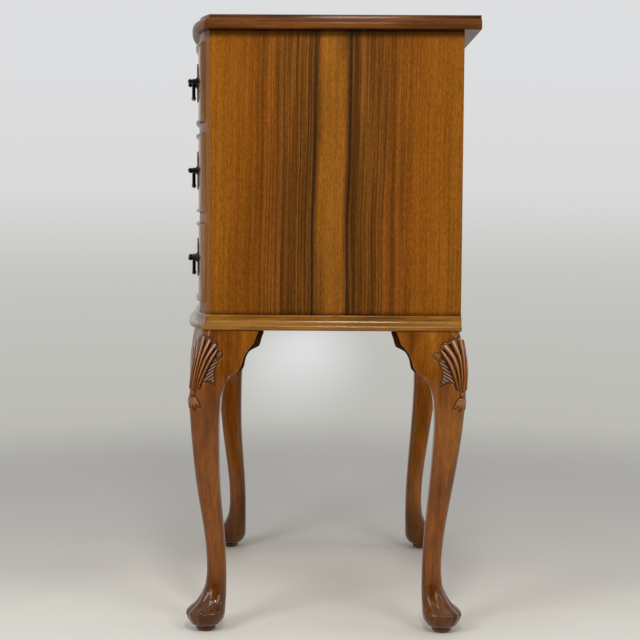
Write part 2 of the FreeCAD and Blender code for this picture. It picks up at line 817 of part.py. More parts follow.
CORNERS = [
    ("front_left", -1, -1, "Worked.leg_front_y", "Worked.post_front_y"),
    ("front_right", 1, -1, "Worked.leg_front_y", "Worked.post_front_y"),
    ("back_left", -1, 1, "Worked.leg_back_y", "Worked.post_back_y"),
    ("back_right", 1, 1, "Worked.leg_back_y", "Worked.post_back_y"),
]
BLOCK_OUT = "(Sizes.post_inner + Sizes.block_width)"
BLOCK_BACK = "(Sizes.post_outer - Sizes.ear_thickness)"
glides = []
blocks = []
for name, across, along, foot_y, post_y in CORNERS:
    foot = (across * value("Worked.leg_x"), value(foot_y))
    post = (foot[0], value(post_y))
    leg = doc.addObject("Part::Feature", "leg_" + name)
    leg.Shape = leg_shape(across, along, foot, post)
    node("leg_" + name, leg)
    ears = [ear_shape(across, along, post, False)]
    if along < 0:
        ears.append(ear_shape(across, along, post, True))
    bracket = doc.addObject("Part::Feature", "brackets_" + name)
    bracket.Shape = Part.makeCompound(ears)
    node("knee_brackets_" + name, bracket)
    side = "-" if across < 0 else ""
    glides.append(
        rod("glide_" + name, "Sizes.glide_radius", "Sizes.glide_height", side + "Worked.leg_x", foot_y, "0")
    )
    if across < 0:
        reach = ("-Worked.leg_x - " + BLOCK_BACK, "-Worked.leg_x + " + BLOCK_OUT)
    else:
        reach = ("Worked.leg_x - " + BLOCK_OUT, "Worked.leg_x + " + BLOCK_BACK)
    if along < 0:
        span = (post_y + " + Sizes.post_inner", "%s + %s" % (post_y, BLOCK_OUT))
    else:
        span = ("%s - %s" % (post_y, BLOCK_OUT), post_y + " - Sizes.post_inner")
    blocks.append(
        box("block_" + name, reach, span, ("Worked.z_base - Sizes.block_height", "Worked.z_base"))
    )
node("foot_glides", group("glide_set", glides))
node("leg_corner_blocks", group("block_set", blocks))

# Pulls, each made once about its own middle on the drawer face, with -Y outward

plate = body("plate_blank")
plate_sketch = sketch_on(plate, "plate_outline", "XZ_Plane")
W = "Sizes.plate_width"
H = "Sizes.plate_height"
WING = [
    (0.000, 0.500, 0.30),
    (0.170, 0.370, -0.26),
    (0.390, 0.270, 0.16),
    (0.500, 0.080, -0.10),
    (0.500, -0.080, 0.18),
    (0.370, -0.260, -0.24),
    (0.160, -0.350, 0.28),
]
# Each point is in parts of the width and height, with the bend of the arc that leaves it. The left side is the
# right one mirrored and drawn upwards, so each arc there leaves its lower end.
spots = WING + [(0.0, -0.5, WING[-1][2])]
for (x, z, _), (_, _, turn) in zip(reversed(WING[1:]), reversed(WING[:-1])):
    spots.append((-x, z, turn))
shaped = []
for x, z, turn in spots:
    sign = "-" if turn < 0 else ""
    shaped.append(("%s * %s" % (x, W), "%s * %s" % (z, H), "%s%s * %s" % (sign, abs(turn), H)))
outline(plate_sketch, shaped)
plate_pad = plate.newObject("PartDesign::Pad", "plate_pad")
plate_pad.Profile = plate_sketch
bind(plate_pad, "Length", "Sizes.plate_thickness")

SPACE = "Sizes.post_spacing / 2"
SHANK = "Sizes.shank_radius"
FACE_Y = "Worked.pull_y - Sizes.plate_lift"
REAR = "(Sizes.front_thickness + Sizes.shank_tail)"
bores = [
    rod(
        "bore_" + side,
        SHANK + " + Sizes.shank_clearance",
        "%s + 2 * Sizes.plate_thickness" % REAR,
        sign + SPACE,
        REAR,
        "0",
        90.0,
    )
    for side, sign in (("left", "-"), ("right", ""))
]
bore_pair = group("bore_blank", bores)
plate_blank = cut("plate_drilled", plate, bore_pair)

START = "-Sizes.plate_thickness - Sizes.post_seat"
post_core = body("post_core")
post_sketch = sketch_on(post_core, "post_profile", "XY_Plane")
NECK_END = START + " - Sizes.pivot_reach - Sizes.post_beyond"
NECK = "(Sizes.post_radius - Sizes.neck_depth)"
BALL = NECK_END + " - Sizes.neck_length - sqrt(Sizes.ball_radius ^ 2 - %s ^ 2)" % NECK
TIP = BALL + " - sqrt(Sizes.ball_radius ^ 2 - Sizes.ball_flat ^ 2)"
COLLAR = "Sizes.post_radius + Sizes.collar_rim"
outline(
    post_sketch,
    [
        ("0", REAR, None),
        ("0", TIP, None),
        ("Sizes.ball_flat", TIP, "Sizes.ball_radius"),
        ("Sizes.ball_radius", BALL, "Sizes.ball_radius"),
        (NECK, NECK_END + " - Sizes.neck_length", None),
        (NECK, NECK_END, None),
        ("Sizes.post_radius", NECK_END, None),
        ("Sizes.post_radius", START + " - Sizes.collar_height", None),
        (COLLAR, START + " - Sizes.collar_height", None),
        (COLLAR, START, None),
        (SHANK, START, None),
        (SHANK, REAR, None),
    ],
)
doc.recompute()
post_turn = post_core.newObject("PartDesign::Revolution", "post_turn")
post_turn.Profile = post_sketch
post_turn.ReferenceAxis = (post_sketch, ["V_Axis"])
post_turn.Angle = 360.0
cross = rod(
    "post_cross",
    "Sizes.pin_radius + Sizes.pin_clearance",
    "6 * Sizes.post_radius",
    "-3 * Sizes.post_radius",
    "-Sizes.plate_thickness - Sizes.pivot_reach",
    "0",
    90.0,
    (0, 1, 0),
)
post_drilled = cut("post_drilled", post_core, cross)


def nut(side, sign):
    """The nut that draws a post tight from inside the drawer."""
    x = sign + SPACE
    blank = doc.addObject("Part::Prism", "nut_blank_" + side)
    blank.Polygon = 6
    blank.Placement = FreeCAD.Placement(
        FreeCAD.Vector(0, 0, 0),
        FreeCAD.Rotation(FreeCAD.Vector(1, 0, 0), 90.0),
    )
    bind(blank, "Circumradius", "Sizes.nut_radius")
    bind(blank, "Height", "Sizes.nut_thickness")
    bind(blank, "Placement.Base.x", x)
    bind(blank, "Placement.Base.y", "Worked.nut_seat + Sizes.nut_thickness")
    hole = rod("nut_hole_" + side, SHANK + " + Sizes.shank_clearance / 2", REAR, x, REAR, "0", 90.0)
    return cut("nut_" + side, blank, hole)


posts = []
for side, sign in (("left", "-"), ("right", "")):
    posts.append(placed("post_" + side, post_drilled, sign + SPACE, "0", "0"))
    posts.append(nut(side, sign))
post_blank = group("post_blank", posts)

# The bail hangs between its posts, its pins turned out into them.
bail = body("bail_rod_blank")
bail_path = sketch_on(bail, "bail_path", "XZ_Plane", "Sizes.plate_thickness + Sizes.pivot_reach")
SHOULDER = "(Sizes.post_spacing / 2 - Sizes.post_radius - Sizes.bail_play)"
BEND = "(%s - Sizes.bail_stub)" % SHOULDER
ARM = "(%s - Sizes.bail_bend)" % BEND
SWEEP = "(%s - Sizes.bail_sweep)" % ARM
RISE = "-Sizes.bail_drop + Sizes.bail_sweep"
outline(
    bail_path,
    [
        ("-" + SHOULDER, "0", None),
        ("-" + BEND, "0", "-Sizes.bail_bend"),
        ("-" + ARM, "-Sizes.bail_bend", None),
        ("-" + ARM, RISE, "Sizes.bail_sweep"),
        ("-" + SWEEP, "-Sizes.bail_drop", None),
        (SWEEP, "-Sizes.bail_drop", "Sizes.bail_sweep"),
        (ARM, RISE, None),
        (ARM, "-Sizes.bail_bend", "-Sizes.bail_bend"),
        (BEND, "0", None),
        (SHOULDER, "0", None),
    ],
    closed=False,
)
bail_section = sketch_on(bail, "bail_section", "YZ_Plane", "-" + SHOULDER)
bail_section.addGeometry(
    Part.Circle(
        FreeCAD.Vector(-value("Sizes.plate_thickness + Sizes.pivot_reach"), 0, 0),
        FreeCAD.Vector(0, 0, 1),
        value("Sizes.bail_rod / 2"),
    ),
    False,
)
for kind, text in (
    ("DistanceX", "-(Sizes.plate_thickness + Sizes.pivot_reach)"),
    ("DistanceY", "0"),
):
    spot = bail_section.addConstraint(Sketcher.Constraint(kind, -1, 1, 0, 3, value(text)))
    bind(bail_section, "Constraints[%d]" % spot, text)
spot = bail_section.addConstraint(Sketcher.Constraint("Radius", 0, value("Sizes.bail_rod / 2")))
bind(bail_section, "Constraints[%d]" % spot, "Sizes.bail_rod / 2")
doc.recompute()
bail_pipe = bail.newObject("PartDesign::AdditivePipe", "bail_pipe")
bail_pipe.Profile = bail_section
bail_pipe.Spine = (bail_path, ["Edge%d" % (index + 1) for index in range(9)])
PIVOT = "-Sizes.plate_thickness - Sizes.pivot_reach"
PIN_LONG = "Sizes.pin_reach + Sizes.pin_root"
pins = [
    rod("pin_left", "Sizes.pin_radius", PIN_LONG, "-%s - Sizes.pin_reach" % SHOULDER, PIVOT, "0", 90.0, (0, 1, 0)),
    rod("pin_right", "Sizes.pin_radius", PIN_LONG, "%s - Sizes.pin_root" % SHOULDER, PIVOT, "0", 90.0, (0, 1, 0)),
]
GRIP_END = "Sizes.bail_rod / 2 - Sizes.grip_sink"
GRIP_MIDDLE = "Sizes.bail_rod / 2 + Sizes.grip_swell"
swells = []
for side, start, first, last in (
    ("left", "-Sizes.grip_half", GRIP_END, GRIP_MIDDLE),
    ("right", "0", GRIP_MIDDLE, GRIP_END),
):
    swell = doc.addObject("Part::Cone", "grip_" + side)
    swell.Placement = FreeCAD.Placement(
        FreeCAD.Vector(0, 0, 0),
        FreeCAD.Rotation(FreeCAD.Vector(0, 1, 0), 90.0),
    )
    bind(swell, "Radius1", first)
    bind(swell, "Radius2", last)
    bind(swell, "Height", "Sizes.grip_half")
    bind(swell, "Placement.Base.x", start)
    bind(swell, "Placement.Base.y", PIVOT)
    bind(swell, "Placement.Base.z", "-Sizes.bail_drop")
    swells.append(swell)
bail_blank = fuse("bail_blank", [bail] + swells + pins)

# Drawers

DRAWERS = [
    ("top", "Worked.opening_top"),
    ("middle", "Worked.opening_middle"),
    ("bottom", "Worked.opening_bottom"),
]
GAP = "Sizes.drawer_gap"
BEAD = "Sizes.bead_width"
BOARD = "Sizes.drawer_board"


def drawer(name, level):
    """One drawer: bowed front, cock-beads, sides, back, bottom panel and pulls."""
    prefix = "drawer_" + name
    low = "%s + %s" % (level, GAP)
    high = "%s + Worked.drawer_height" % low
    wide = ("-Worked.drawer_half", "Worked.drawer_half")
    room = ("Worked.y_front", "Worked.y_rail")
    side_high = "%s - Sizes.drawer_side_drop" % high
    back_high = "%s - Sizes.drawer_back_drop" % high
    floor = "%s + Sizes.bottom_raise" % low
    within = ("-Worked.drawer_half + " + BOARD, "Worked.drawer_half - " + BOARD)

    panel = common(
        prefix + "_panel",
        box(
            prefix + "_panel_room",
            (
                "-Worked.drawer_half + %s - Sizes.bottom_groove" % BOARD,
                "Worked.drawer_half - %s + Sizes.bottom_groove" % BOARD,
            ),
            ("Worked.y_front", "Worked.y_drawer"),
            (floor, "%s + Sizes.bottom_panel" % floor),
        ),
        groove_block,
    )
    pulls = []
    for side, sign, turn in (("left", "-", "-"), ("right", "", "")):
        pulls.append((side, sign + "Worked.pull_offset", turn + "Worked.pull_angle"))
    pull_z = "%s + Worked.pull_height" % level
    drill = group(
        prefix + "_bores",
        [
            placed(prefix + "_bore_" + side, bore_pair, x, "Worked.pull_y", pull_z, angle)
            for side, x, angle in pulls
        ],
    )

    core = common(
        prefix + "_core",
        box(
            prefix + "_core_room",
            ("-Worked.drawer_half + " + BEAD, "Worked.drawer_half - " + BEAD),
            room,
            ("%s + %s" % (low, BEAD), "%s - %s" % (high, BEAD)),
        ),
        face_block,
    )
    rear = common(
        prefix + "_rear",
        box(prefix + "_rear_room", wide, room, (low, high)),
        rebate_block,
    )
    front = fuse(prefix + "_front_solid", [core, rear])
    front = cut(prefix + "_front_hollow", front, inside_block)
    front = cut(prefix + "_front_grooved", front, panel)
    node(prefix + "_front", cut(prefix + "_front_drilled", front, drill))

    beads = []
    edges = (
        ("top", wide, ("%s - %s" % (high, BEAD), high)),
        ("bottom", wide, (low, "%s + %s" % (low, BEAD))),
        (
            "left",
            ("-Worked.drawer_half", "-Worked.drawer_half + " + BEAD),
            ("%s + %s" % (low, BEAD), "%s - %s" % (high, BEAD)),
        ),
        (
            "right",
            ("Worked.drawer_half - " + BEAD, "Worked.drawer_half"),
            ("%s + %s" % (low, BEAD), "%s - %s" % (high, BEAD)),
        ),
    )
    for side, x, z in edges:
        strip = common(
            "%s_bead_%s_strip" % (prefix, side),
            box("%s_bead_%s_room" % (prefix, side), x, room, z),
            nose_block,
        )
        beads.append(cut("%s_bead_%s" % (prefix, side), strip, rebate_block))
    node(prefix + "_cockbead", group(prefix + "_beads", beads))

    for side, x in (
        ("left", ("-Worked.drawer_half", "-Worked.drawer_half + " + BOARD)),
        ("right", ("Worked.drawer_half - " + BOARD, "Worked.drawer_half")),
    ):
        board = common(
            "%s_%s_board" % (prefix, side),
            box(
                "%s_%s_room" % (prefix, side),
                x,
                ("Worked.y_front", "Worked.y_drawer"),
                (low, side_high),
            ),
            inside_block,
        )
        node("%s_side_%s" % (prefix, side), cut("%s_%s_grooved" % (prefix, side), board, panel))
    node(
        prefix + "_back",
        box(
            prefix + "_back_board",
            within,
            ("Worked.y_drawer - " + BOARD, "Worked.y_drawer"),
            ("%s + Sizes.bottom_panel" % floor, back_high),
        ),
    )
    node(prefix + "_floor", panel)

    plates = []
    fixings = []
    for side, x, angle in pulls:
        plates.append(placed(prefix + "_plate_" + side, plate_blank, x, FACE_Y, pull_z, angle))
        fixings.append(placed(prefix + "_post_" + side, post_blank, x, FACE_Y, pull_z, angle))
        node(
            "%s_bail_%s" % (prefix, side),
            placed(prefix + "_bail_" + side, bail_blank, x, FACE_Y, pull_z, angle),
        )
    node(prefix + "_pull_plates", group(prefix + "_plates", plates))
    node(prefix + "_pull_posts", group(prefix + "_posts", fixings))


for name, level in DRAWERS:
    drawer(name, level)

doc.recompute()

for thing in doc.Objects:
    if "Invalid" in thing.State or "Error" in thing.State:
        raise RuntimeError("%s: %s" % (thing.Name, thing.State))

os.makedirs("parts", exist_ok=True)
for thing in nodes:
    if thing.Shape.isNull() or not thing.Shape.isValid():
        raise RuntimeError(thing.Label + " has no valid shape")
    thing.Shape.exportStep("parts/%s.step" % thing.Label)
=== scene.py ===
"""Looks of a bow-front chest of three drawers on carved cabriole legs.

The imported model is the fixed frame, in metres: +Z up, the width along X and the drawers
facing -Y. Carved, moulded and turned pieces are surfaces worked out with numpy that stand
for their nodes. Plain boards keep their nodes and are dressed with a finish.
"""

import logging
import math
from dataclasses import dataclass, field
from enum import Enum
from typing import Iterable, Optional, Sequence, Union

import bmesh
import bpy
import numpy as np
from mathutils import Matrix, Vector


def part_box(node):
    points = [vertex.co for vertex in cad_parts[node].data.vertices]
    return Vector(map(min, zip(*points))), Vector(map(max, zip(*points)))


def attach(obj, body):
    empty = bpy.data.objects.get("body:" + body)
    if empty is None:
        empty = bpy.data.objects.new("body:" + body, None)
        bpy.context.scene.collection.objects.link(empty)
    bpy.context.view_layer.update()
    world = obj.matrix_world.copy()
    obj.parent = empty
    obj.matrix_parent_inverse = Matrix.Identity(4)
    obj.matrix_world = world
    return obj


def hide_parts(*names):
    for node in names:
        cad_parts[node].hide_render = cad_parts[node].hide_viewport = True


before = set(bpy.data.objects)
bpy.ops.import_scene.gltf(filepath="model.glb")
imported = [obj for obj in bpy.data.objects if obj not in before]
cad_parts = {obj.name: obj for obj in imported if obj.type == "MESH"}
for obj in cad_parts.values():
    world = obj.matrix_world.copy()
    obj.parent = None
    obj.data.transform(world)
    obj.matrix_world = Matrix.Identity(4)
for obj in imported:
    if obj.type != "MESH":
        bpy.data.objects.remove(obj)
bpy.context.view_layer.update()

LOG = logging.getLogger("chest")
MM = 0.001
Array = np.ndarray
Material = bpy.types.Material
Socket = bpy.types.NodeSocket
Tree = bpy.types.NodeTree
DRAWERS = ("top", "middle", "bottom")

# Points nearer than the first are merged, and faces thinner than the second are dropped.
MERGE = 0.004 * MM
SLIVER = 0.002 * MM


class Axis(Enum):
    """The direction that the grain of a board runs."""

    X = 0
    Y = 1
    Z = 2


# Small mathematics


def linear(code: str) -> tuple[float, float, float, float]:
    """Turns an sRGB hex code into a linear colour.

    Args:
        code: Six hex digits after a hash sign.

    Returns:
        Red, green, blue and alpha, each from 0 to 1.
    """
    parts = [int(code[place:place + 2], 16) / 255 for place in (1, 3, 5)]
    tones = [part / 12.92 if part <= 0.04045 else ((part + 0.055) / 1.055) ** 2.4 for part in parts]
    return (tones[0], tones[1], tones[2], 1.0)


def smooth(low: float, high: float, value: Array) -> Array:
    """The cubic ease from 0 at low to 1 at high.

    Args:
        low: Where the rise starts.
        high: Where the rise ends.
        value: Where it is read.

    Returns:
        3t^2 - 2t^3 of the clipped share t.
    """
    share = np.clip((value - low) / (high - low), 0.0, 1.0)
    return share * share * (3.0 - 2.0 * share)


def unit(value: Array) -> Array:
    """Clips values to the range from 0 to 1."""
    return np.clip(value, 0.0, 1.0)


def bell(value: Array) -> Array:
    """The bell curve exp(-v^2), which is 1 at 0."""
    return np.exp(-(value**2))


def spots_at(x: Array, y: Array, z: Array) -> Array:
    """Points of a grid from coordinates that are each spread over it."""
    return np.stack(np.broadcast_arrays(x, y, z), axis=-1)


def hermite(knots: Array, values: Array, where: Array) -> Array:
    """A smooth curve through rows of values, with no overshoot at a level stretch.

    Each span is the cubic with the knots' values and slopes. A slope is the harmonic mean of the
    two chords beside it, or nothing where they differ in sign.

    Args:
        knots: Rising places of the rows.
        values: One row of values for each knot.
        where: Places to read the curve at.

    Returns:
        One row of values for each place.
    """
    widths = np.diff(knots)[:, None]
    chords = np.diff(values, axis=0) / widths
    slopes = np.zeros_like(values)
    product = chords[:-1] * chords[1:]
    total = chords[:-1] + chords[1:]
    safe = np.where(product > 0, total, 1.0)
    slopes[1:-1] = np.where(product > 0, 2.0 * product / safe, 0.0)
    slopes[0] = chords[0]
    slopes[-1] = chords[-1]
    span = np.clip(np.searchsorted(knots, where, side="right") - 1, 0, len(knots) - 2)
    width = widths[span]
    t = ((where - knots[span])[:, None]) / width
    square = t * t
    cube = square * t
    return (
        (2 * cube - 3 * square + 1) * values[span]
        + (cube - 2 * square + t) * width * slopes[span]
        + (3 * square - 2 * cube) * values[span + 1]
        + (cube - square) * width * slopes[span + 1]
    )


def arc(centre: Sequence[float], radius: float, start: float, end: float, count: int) -> Array:
    """Points on a circle's arc.

    Args:
        centre: The circle's centre in its plane.
        radius: Its radius.
        start: First angle in degrees.
        end: Last angle in degrees.
        count: How many points.

    Returns:
        The points, one row each.
    """
    turn = np.radians(np.linspace(start, end, count))
    return np.stack([centre[0] + radius * np.cos(turn), centre[1] + radius * np.sin(turn)], axis=1)


def arc_through(
    first: Sequence[float], middle: Sequence[float], last: Sequence[float], count: int
) -> Array:
    """Points on the arc through three points, by the meeting point of two bisectors.

    Args:
        first: Where the arc starts.
        middle: A point that it passes.
        last: Where it ends.
        count: How many points.

    Returns:
        The points, one row each.
    """
    a, b, c = (np.asarray(spot, float) for spot in (first, middle, last))
    sides = 2.0 * np.array([b - a, c - a])
    centre = np.linalg.solve(sides, np.array([b @ b - a @ a, c @ c - a @ a]))
    angles = [math.atan2(*(spot - centre)[::-1]) for spot in (a, b, c)]
    angles = np.unwrap(angles)
    return arc(centre, float(np.linalg.norm(a - centre)), *np.degrees(angles[[0, 2]]), count)


# Meshes


@dataclass
class Shell:
    """Grids and caps gathered into one closed mesh."""

    points: list[Array] = field(default_factory=list)
    quads: list[Array] = field(default_factory=list)
    triangles: list[Array] = field(default_factory=list)
    depths: list[Array] = field(default_factory=list)
    finishes: list[Array] = field(default_factory=list)
    size: int = 0

    def add_points(self, spots: Array, depth: Optional[Array] = None) -> int:
        """Keeps points and returns the index of the first one."""
        start = self.size
        flat = spots.reshape(-1, 3)
        self.points.append(flat)
        self.depths.append(np.zeros(len(flat)) if depth is None else depth.reshape(-1))
        self.size += len(flat)
        return start

    def grid(
        self,
        spots: Array,
        around: bool = False,
        depth: Optional[Array] = None,
        finish: Union[int, Array] = 0,
    ) -> None:
        """Adds a grid of quads, each between four neighbouring points.

        Args:
            spots: Points on a grid of rows and columns.
            around: Whether the last row joins the first.
            depth: A value kept for each point, such as the painted shade or highlight of a carving there.
            finish: Which of the piece's finishes the quads take, for all or for each row.
        """
        rows, columns = spots.shape[:2]
        start = self.add_points(spots, depth)
        index = start + np.arange(rows * columns).reshape(rows, columns)
        down = np.roll(index, -1, axis=0) if around else index[1:]
        here = index if around else index[:-1]
        corners = [here[:, :-1], down[:, :-1], down[:, 1:], here[:, 1:]]
        self.quads.append(np.stack([corner.ravel() for corner in corners], axis=1))
        rows = np.broadcast_to(np.reshape(finish, (-1, 1)), (len(here), columns - 1))
        self.finishes.append(rows.ravel())

    def cap(self, rim: Array) -> None:
        """Closes a loop of points with a fan about their mean."""
        start = self.add_points(np.concatenate([rim, rim.mean(axis=0, keepdims=True)]))
        count = len(rim)
        edge = start + np.arange(count)
        self.triangles.append(np.stack([edge, np.roll(edge, -1), np.full(count, start + count)], axis=1))

    def tube(self, spots: Array, depth: Optional[Array] = None, finish: int = 0) -> None:
        """Adds loops of points, rows running around and columns along, with both ends closed."""
        self.grid(spots, True, depth, finish)
        self.cap(spots[:, 0])
        self.cap(spots[:, -1])

    def mesh(self, name: str, sharp: float) -> bpy.types.Mesh:
        """Makes the mesh, merges the seams and turns every face outwards.

        Args:
            name: The mesh's name.
            sharp: Edges that turn by more than this angle, in degrees, stay sharp.

        Returns:
            The finished mesh, with the point attribute "depth".
        """
        mesh = bpy.data.meshes.new(name)
        spots = np.concatenate(self.points)
        quads = np.concatenate(self.quads) if self.quads else np.zeros((0, 4), int)
        triangles = np.concatenate(self.triangles) if self.triangles else np.zeros((0, 3), int)
        corners = np.concatenate([quads.ravel(), triangles.ravel()])
        starts = np.concatenate(
            [np.arange(len(quads)) * 4, len(quads) * 4 + np.arange(len(triangles)) * 3]
        )
        mesh.vertices.add(len(spots))
        mesh.vertices.foreach_set("co", spots.astype(np.float32).ravel())
        mesh.loops.add(len(corners))
        mesh.loops.foreach_set("vertex_index", corners.astype(np.int32))
        mesh.polygons.add(len(starts))
        mesh.polygons.foreach_set("loop_start", starts.astype(np.int32))
        indices = np.concatenate([*self.finishes, np.zeros(len(triangles), int)])
        mesh.polygons.foreach_set("material_index", indices.astype(np.int32))
        mesh.update(calc_edges=True)
        cut = mesh.attributes.new("depth", "FLOAT", "POINT")
        cut.data.foreach_set("value", np.concatenate(self.depths).astype(np.float32))
        joined = bmesh.new()
        joined.from_mesh(mesh)
        bmesh.ops.remove_doubles(joined, verts=joined.verts, dist=MERGE)
        bmesh.ops.dissolve_degenerate(joined, edges=joined.edges, dist=SLIVER)
        bmesh.ops.recalc_face_normals(joined, faces=joined.faces)
        joined.to_mesh(mesh)
        joined.free()
        mesh.shade_smooth()
        mesh.set_sharp_from_angle(angle=math.radians(sharp))
        return mesh


class Slot(Enum):
    """Names of three material slots; no piece here is given one."""

    WALNUT = "walnut"
    LEGS = "walnut_legs"
    BRONZE = "dark_bronze"


def piece(
    name: str,
    shell: Shell,
    materials: Sequence[Material],
    body: str,
    replaced: Iterable[str] = (),
    sharp: float = 38.0,
) -> bpy.types.Object:
    """Puts a shell into the scene as one piece of the chest.

    Args:
        name: The piece's name.
        shell: Its closed surfaces, in the frame's place.
        materials: Its finishes, in the order that its faces name them.
        body: The CAD body that it rides on.
        replaced: CAD nodes that it stands for.
        sharp: Edges that turn by more than this angle, in degrees, stay sharp.

    Returns:
        The new object.
    """
    thing = bpy.data.objects.new(name, shell.mesh(name, sharp))
    for material in materials:
        thing.data.materials.append(material)
    bpy.context.scene.collection.objects.link(thing)
    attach(thing, body)
    if replaced:
        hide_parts(*replaced)
    LOG.info("%s: %d faces on %s", name, len(thing.data.polygons), body)
    return thing


# Finishes


def add(tree: Tree, kind: str, inputs: Optional[dict] = None, **settings) -> bpy.types.NodeOutputs:
    """Adds one node with its settings, and fills or links its inputs.

    Args:
        tree: The material's nodes.
        kind: The node's type, after the word ShaderNode.
        inputs: Values or output sockets, by input name or number.
        **settings: The node's own properties. A ramp's stops are (place, hex code or grey level) pairs.

    Returns:
        The new node's outputs.
    """
    node = tree.nodes.new("ShaderNode" + kind)
    stops = settings.pop("stops", None)
    for key, value in settings.items():
        setattr(node, key, value)
    if stops:
        ramp = node.color_ramp.elements
        while len(ramp) < len(stops):
            ramp.new(0.5)
        for element, (place, colour) in zip(ramp, stops):
            element.position = place
            element.color = linear(colour) if isinstance(colour, str) else (colour, colour, colour, 1.0)
    for key, value in (inputs or {}).items():
        if isinstance(value, Socket):
            tree.links.new(value, node.inputs[key])
        else:
            node.inputs[key].default_value = value
    return node.outputs


def blank(name: str) -> tuple[Material, Tree]:
    """A new material with an empty node tree."""
    material = bpy.data.materials.new(name)
    material.use_nodes = True
    material.node_tree.nodes.clear()
    return material, material.node_tree


@dataclass(frozen=True)
class Figure:
    """One layer of figure in wood: noise drawn out along the grain and read as a factor on the colour.

    The size across the grain and the length along it are in millimetres. Noise between low and high gives
    factors from dark to pale.
    """

    size: float
    length: float
    low: float
    high: float
    dark: float
    pale: float
    detail: float = 2.0
    warp: float = 0.0

    def lay(
        self,
        tree: Tree,
        place: Socket,
        grain: int,
        colour: Socket,
        strength: Union[float, Socket] = 1.0,
    ) -> tuple[Socket, Socket]:
        """Multiplies a colour by this layer.

        Args:
            tree: The material's nodes.
            place: Where the figure is read, in metres.
            grain: Which part of the place runs along the grain.
            colour: The colour under the layer.
            strength: How much of the layer shows.

        Returns:
            The new colour, and the layer's own factor.
        """
        rates = [1.0 / (self.size * MM)] * 3
        rates[grain] = 1.0 / (self.length * MM)
        drawn = add(tree, "Mapping", {"Vector": place, "Scale": rates})
        noise = add(
            tree,
            "TexNoise",
            {
                "Vector": drawn[0],
                "Scale": 1.0,
                "Detail": self.detail,
                "Roughness": 0.55,
                "Distortion": self.warp,
            },
        )
        factor = add(
            tree,
            "MapRange",
            {
                "Value": noise["Fac"],
                "From Min": self.low,
                "From Max": self.high,
                "To Min": self.dark,
                "To Max": self.pale,
            },
            interpolation_type="SMOOTHSTEP",
        )[0]
        mixed = add(
            tree, "Mix", {0: strength, 6: colour, 7: factor}, data_type="RGBA", blend_type="MULTIPLY"
        )
        return mixed[2], factor


@dataclass(frozen=True)
class Polish:
    """A lacquer over wood: the gloss of the wood and its tint, and the weight and roughness of the film.

    The roughness changes by the spread from the dark to the pale end of the figure.
    """

    roughness: float
    level: float
    film: float
    film_roughness: float
    tint: str = "#FFFFFF"
    index: float = 1.5
    figure: tuple[float, float] = (0.7, 1.2)
    spread: tuple[float, float] = (0.07, -0.04)
    pore_bump: float = 0.14
    pore_depth: float = 0.12

    def shade(
        self,
        tree: Tree,
        colour: Socket,
        uneven: Socket,
        pores: Socket,
    ) -> None:
        """Ends a material: the figure makes the gloss uneven and the open pores give the bump.

        Args:
            tree: The material's nodes.
            colour: The finished colour.
            uneven: A factor about 1 from the figure.
            pores: A factor that is lowest in a pore.
        """
        gloss = add(
            tree,
            "MapRange",
            {
                "Value": uneven,
                "From Min": self.figure[0],
                "From Max": self.figure[1],
                "To Min": self.roughness + self.spread[0],
                "To Max": self.roughness + self.spread[1],
            },
        )
        pits = {"Height": pores, "Strength": self.pore_bump, "Distance": self.pore_depth * MM}
        bump = add(tree, "Bump", pits)
        shader = add(
            tree,
            "BsdfPrincipled",
            {
                "Base Color": colour,
                "Roughness": gloss[0],
                "Normal": bump[0],
                "IOR": self.index,
                "Specular IOR Level": self.level,
                "Specular Tint": linear(self.tint),
                "Coat Weight": self.film,
                "Coat Roughness": self.film_roughness,
            },
        )
        add(tree, "OutputMaterial", {"Surface": shader[0]})


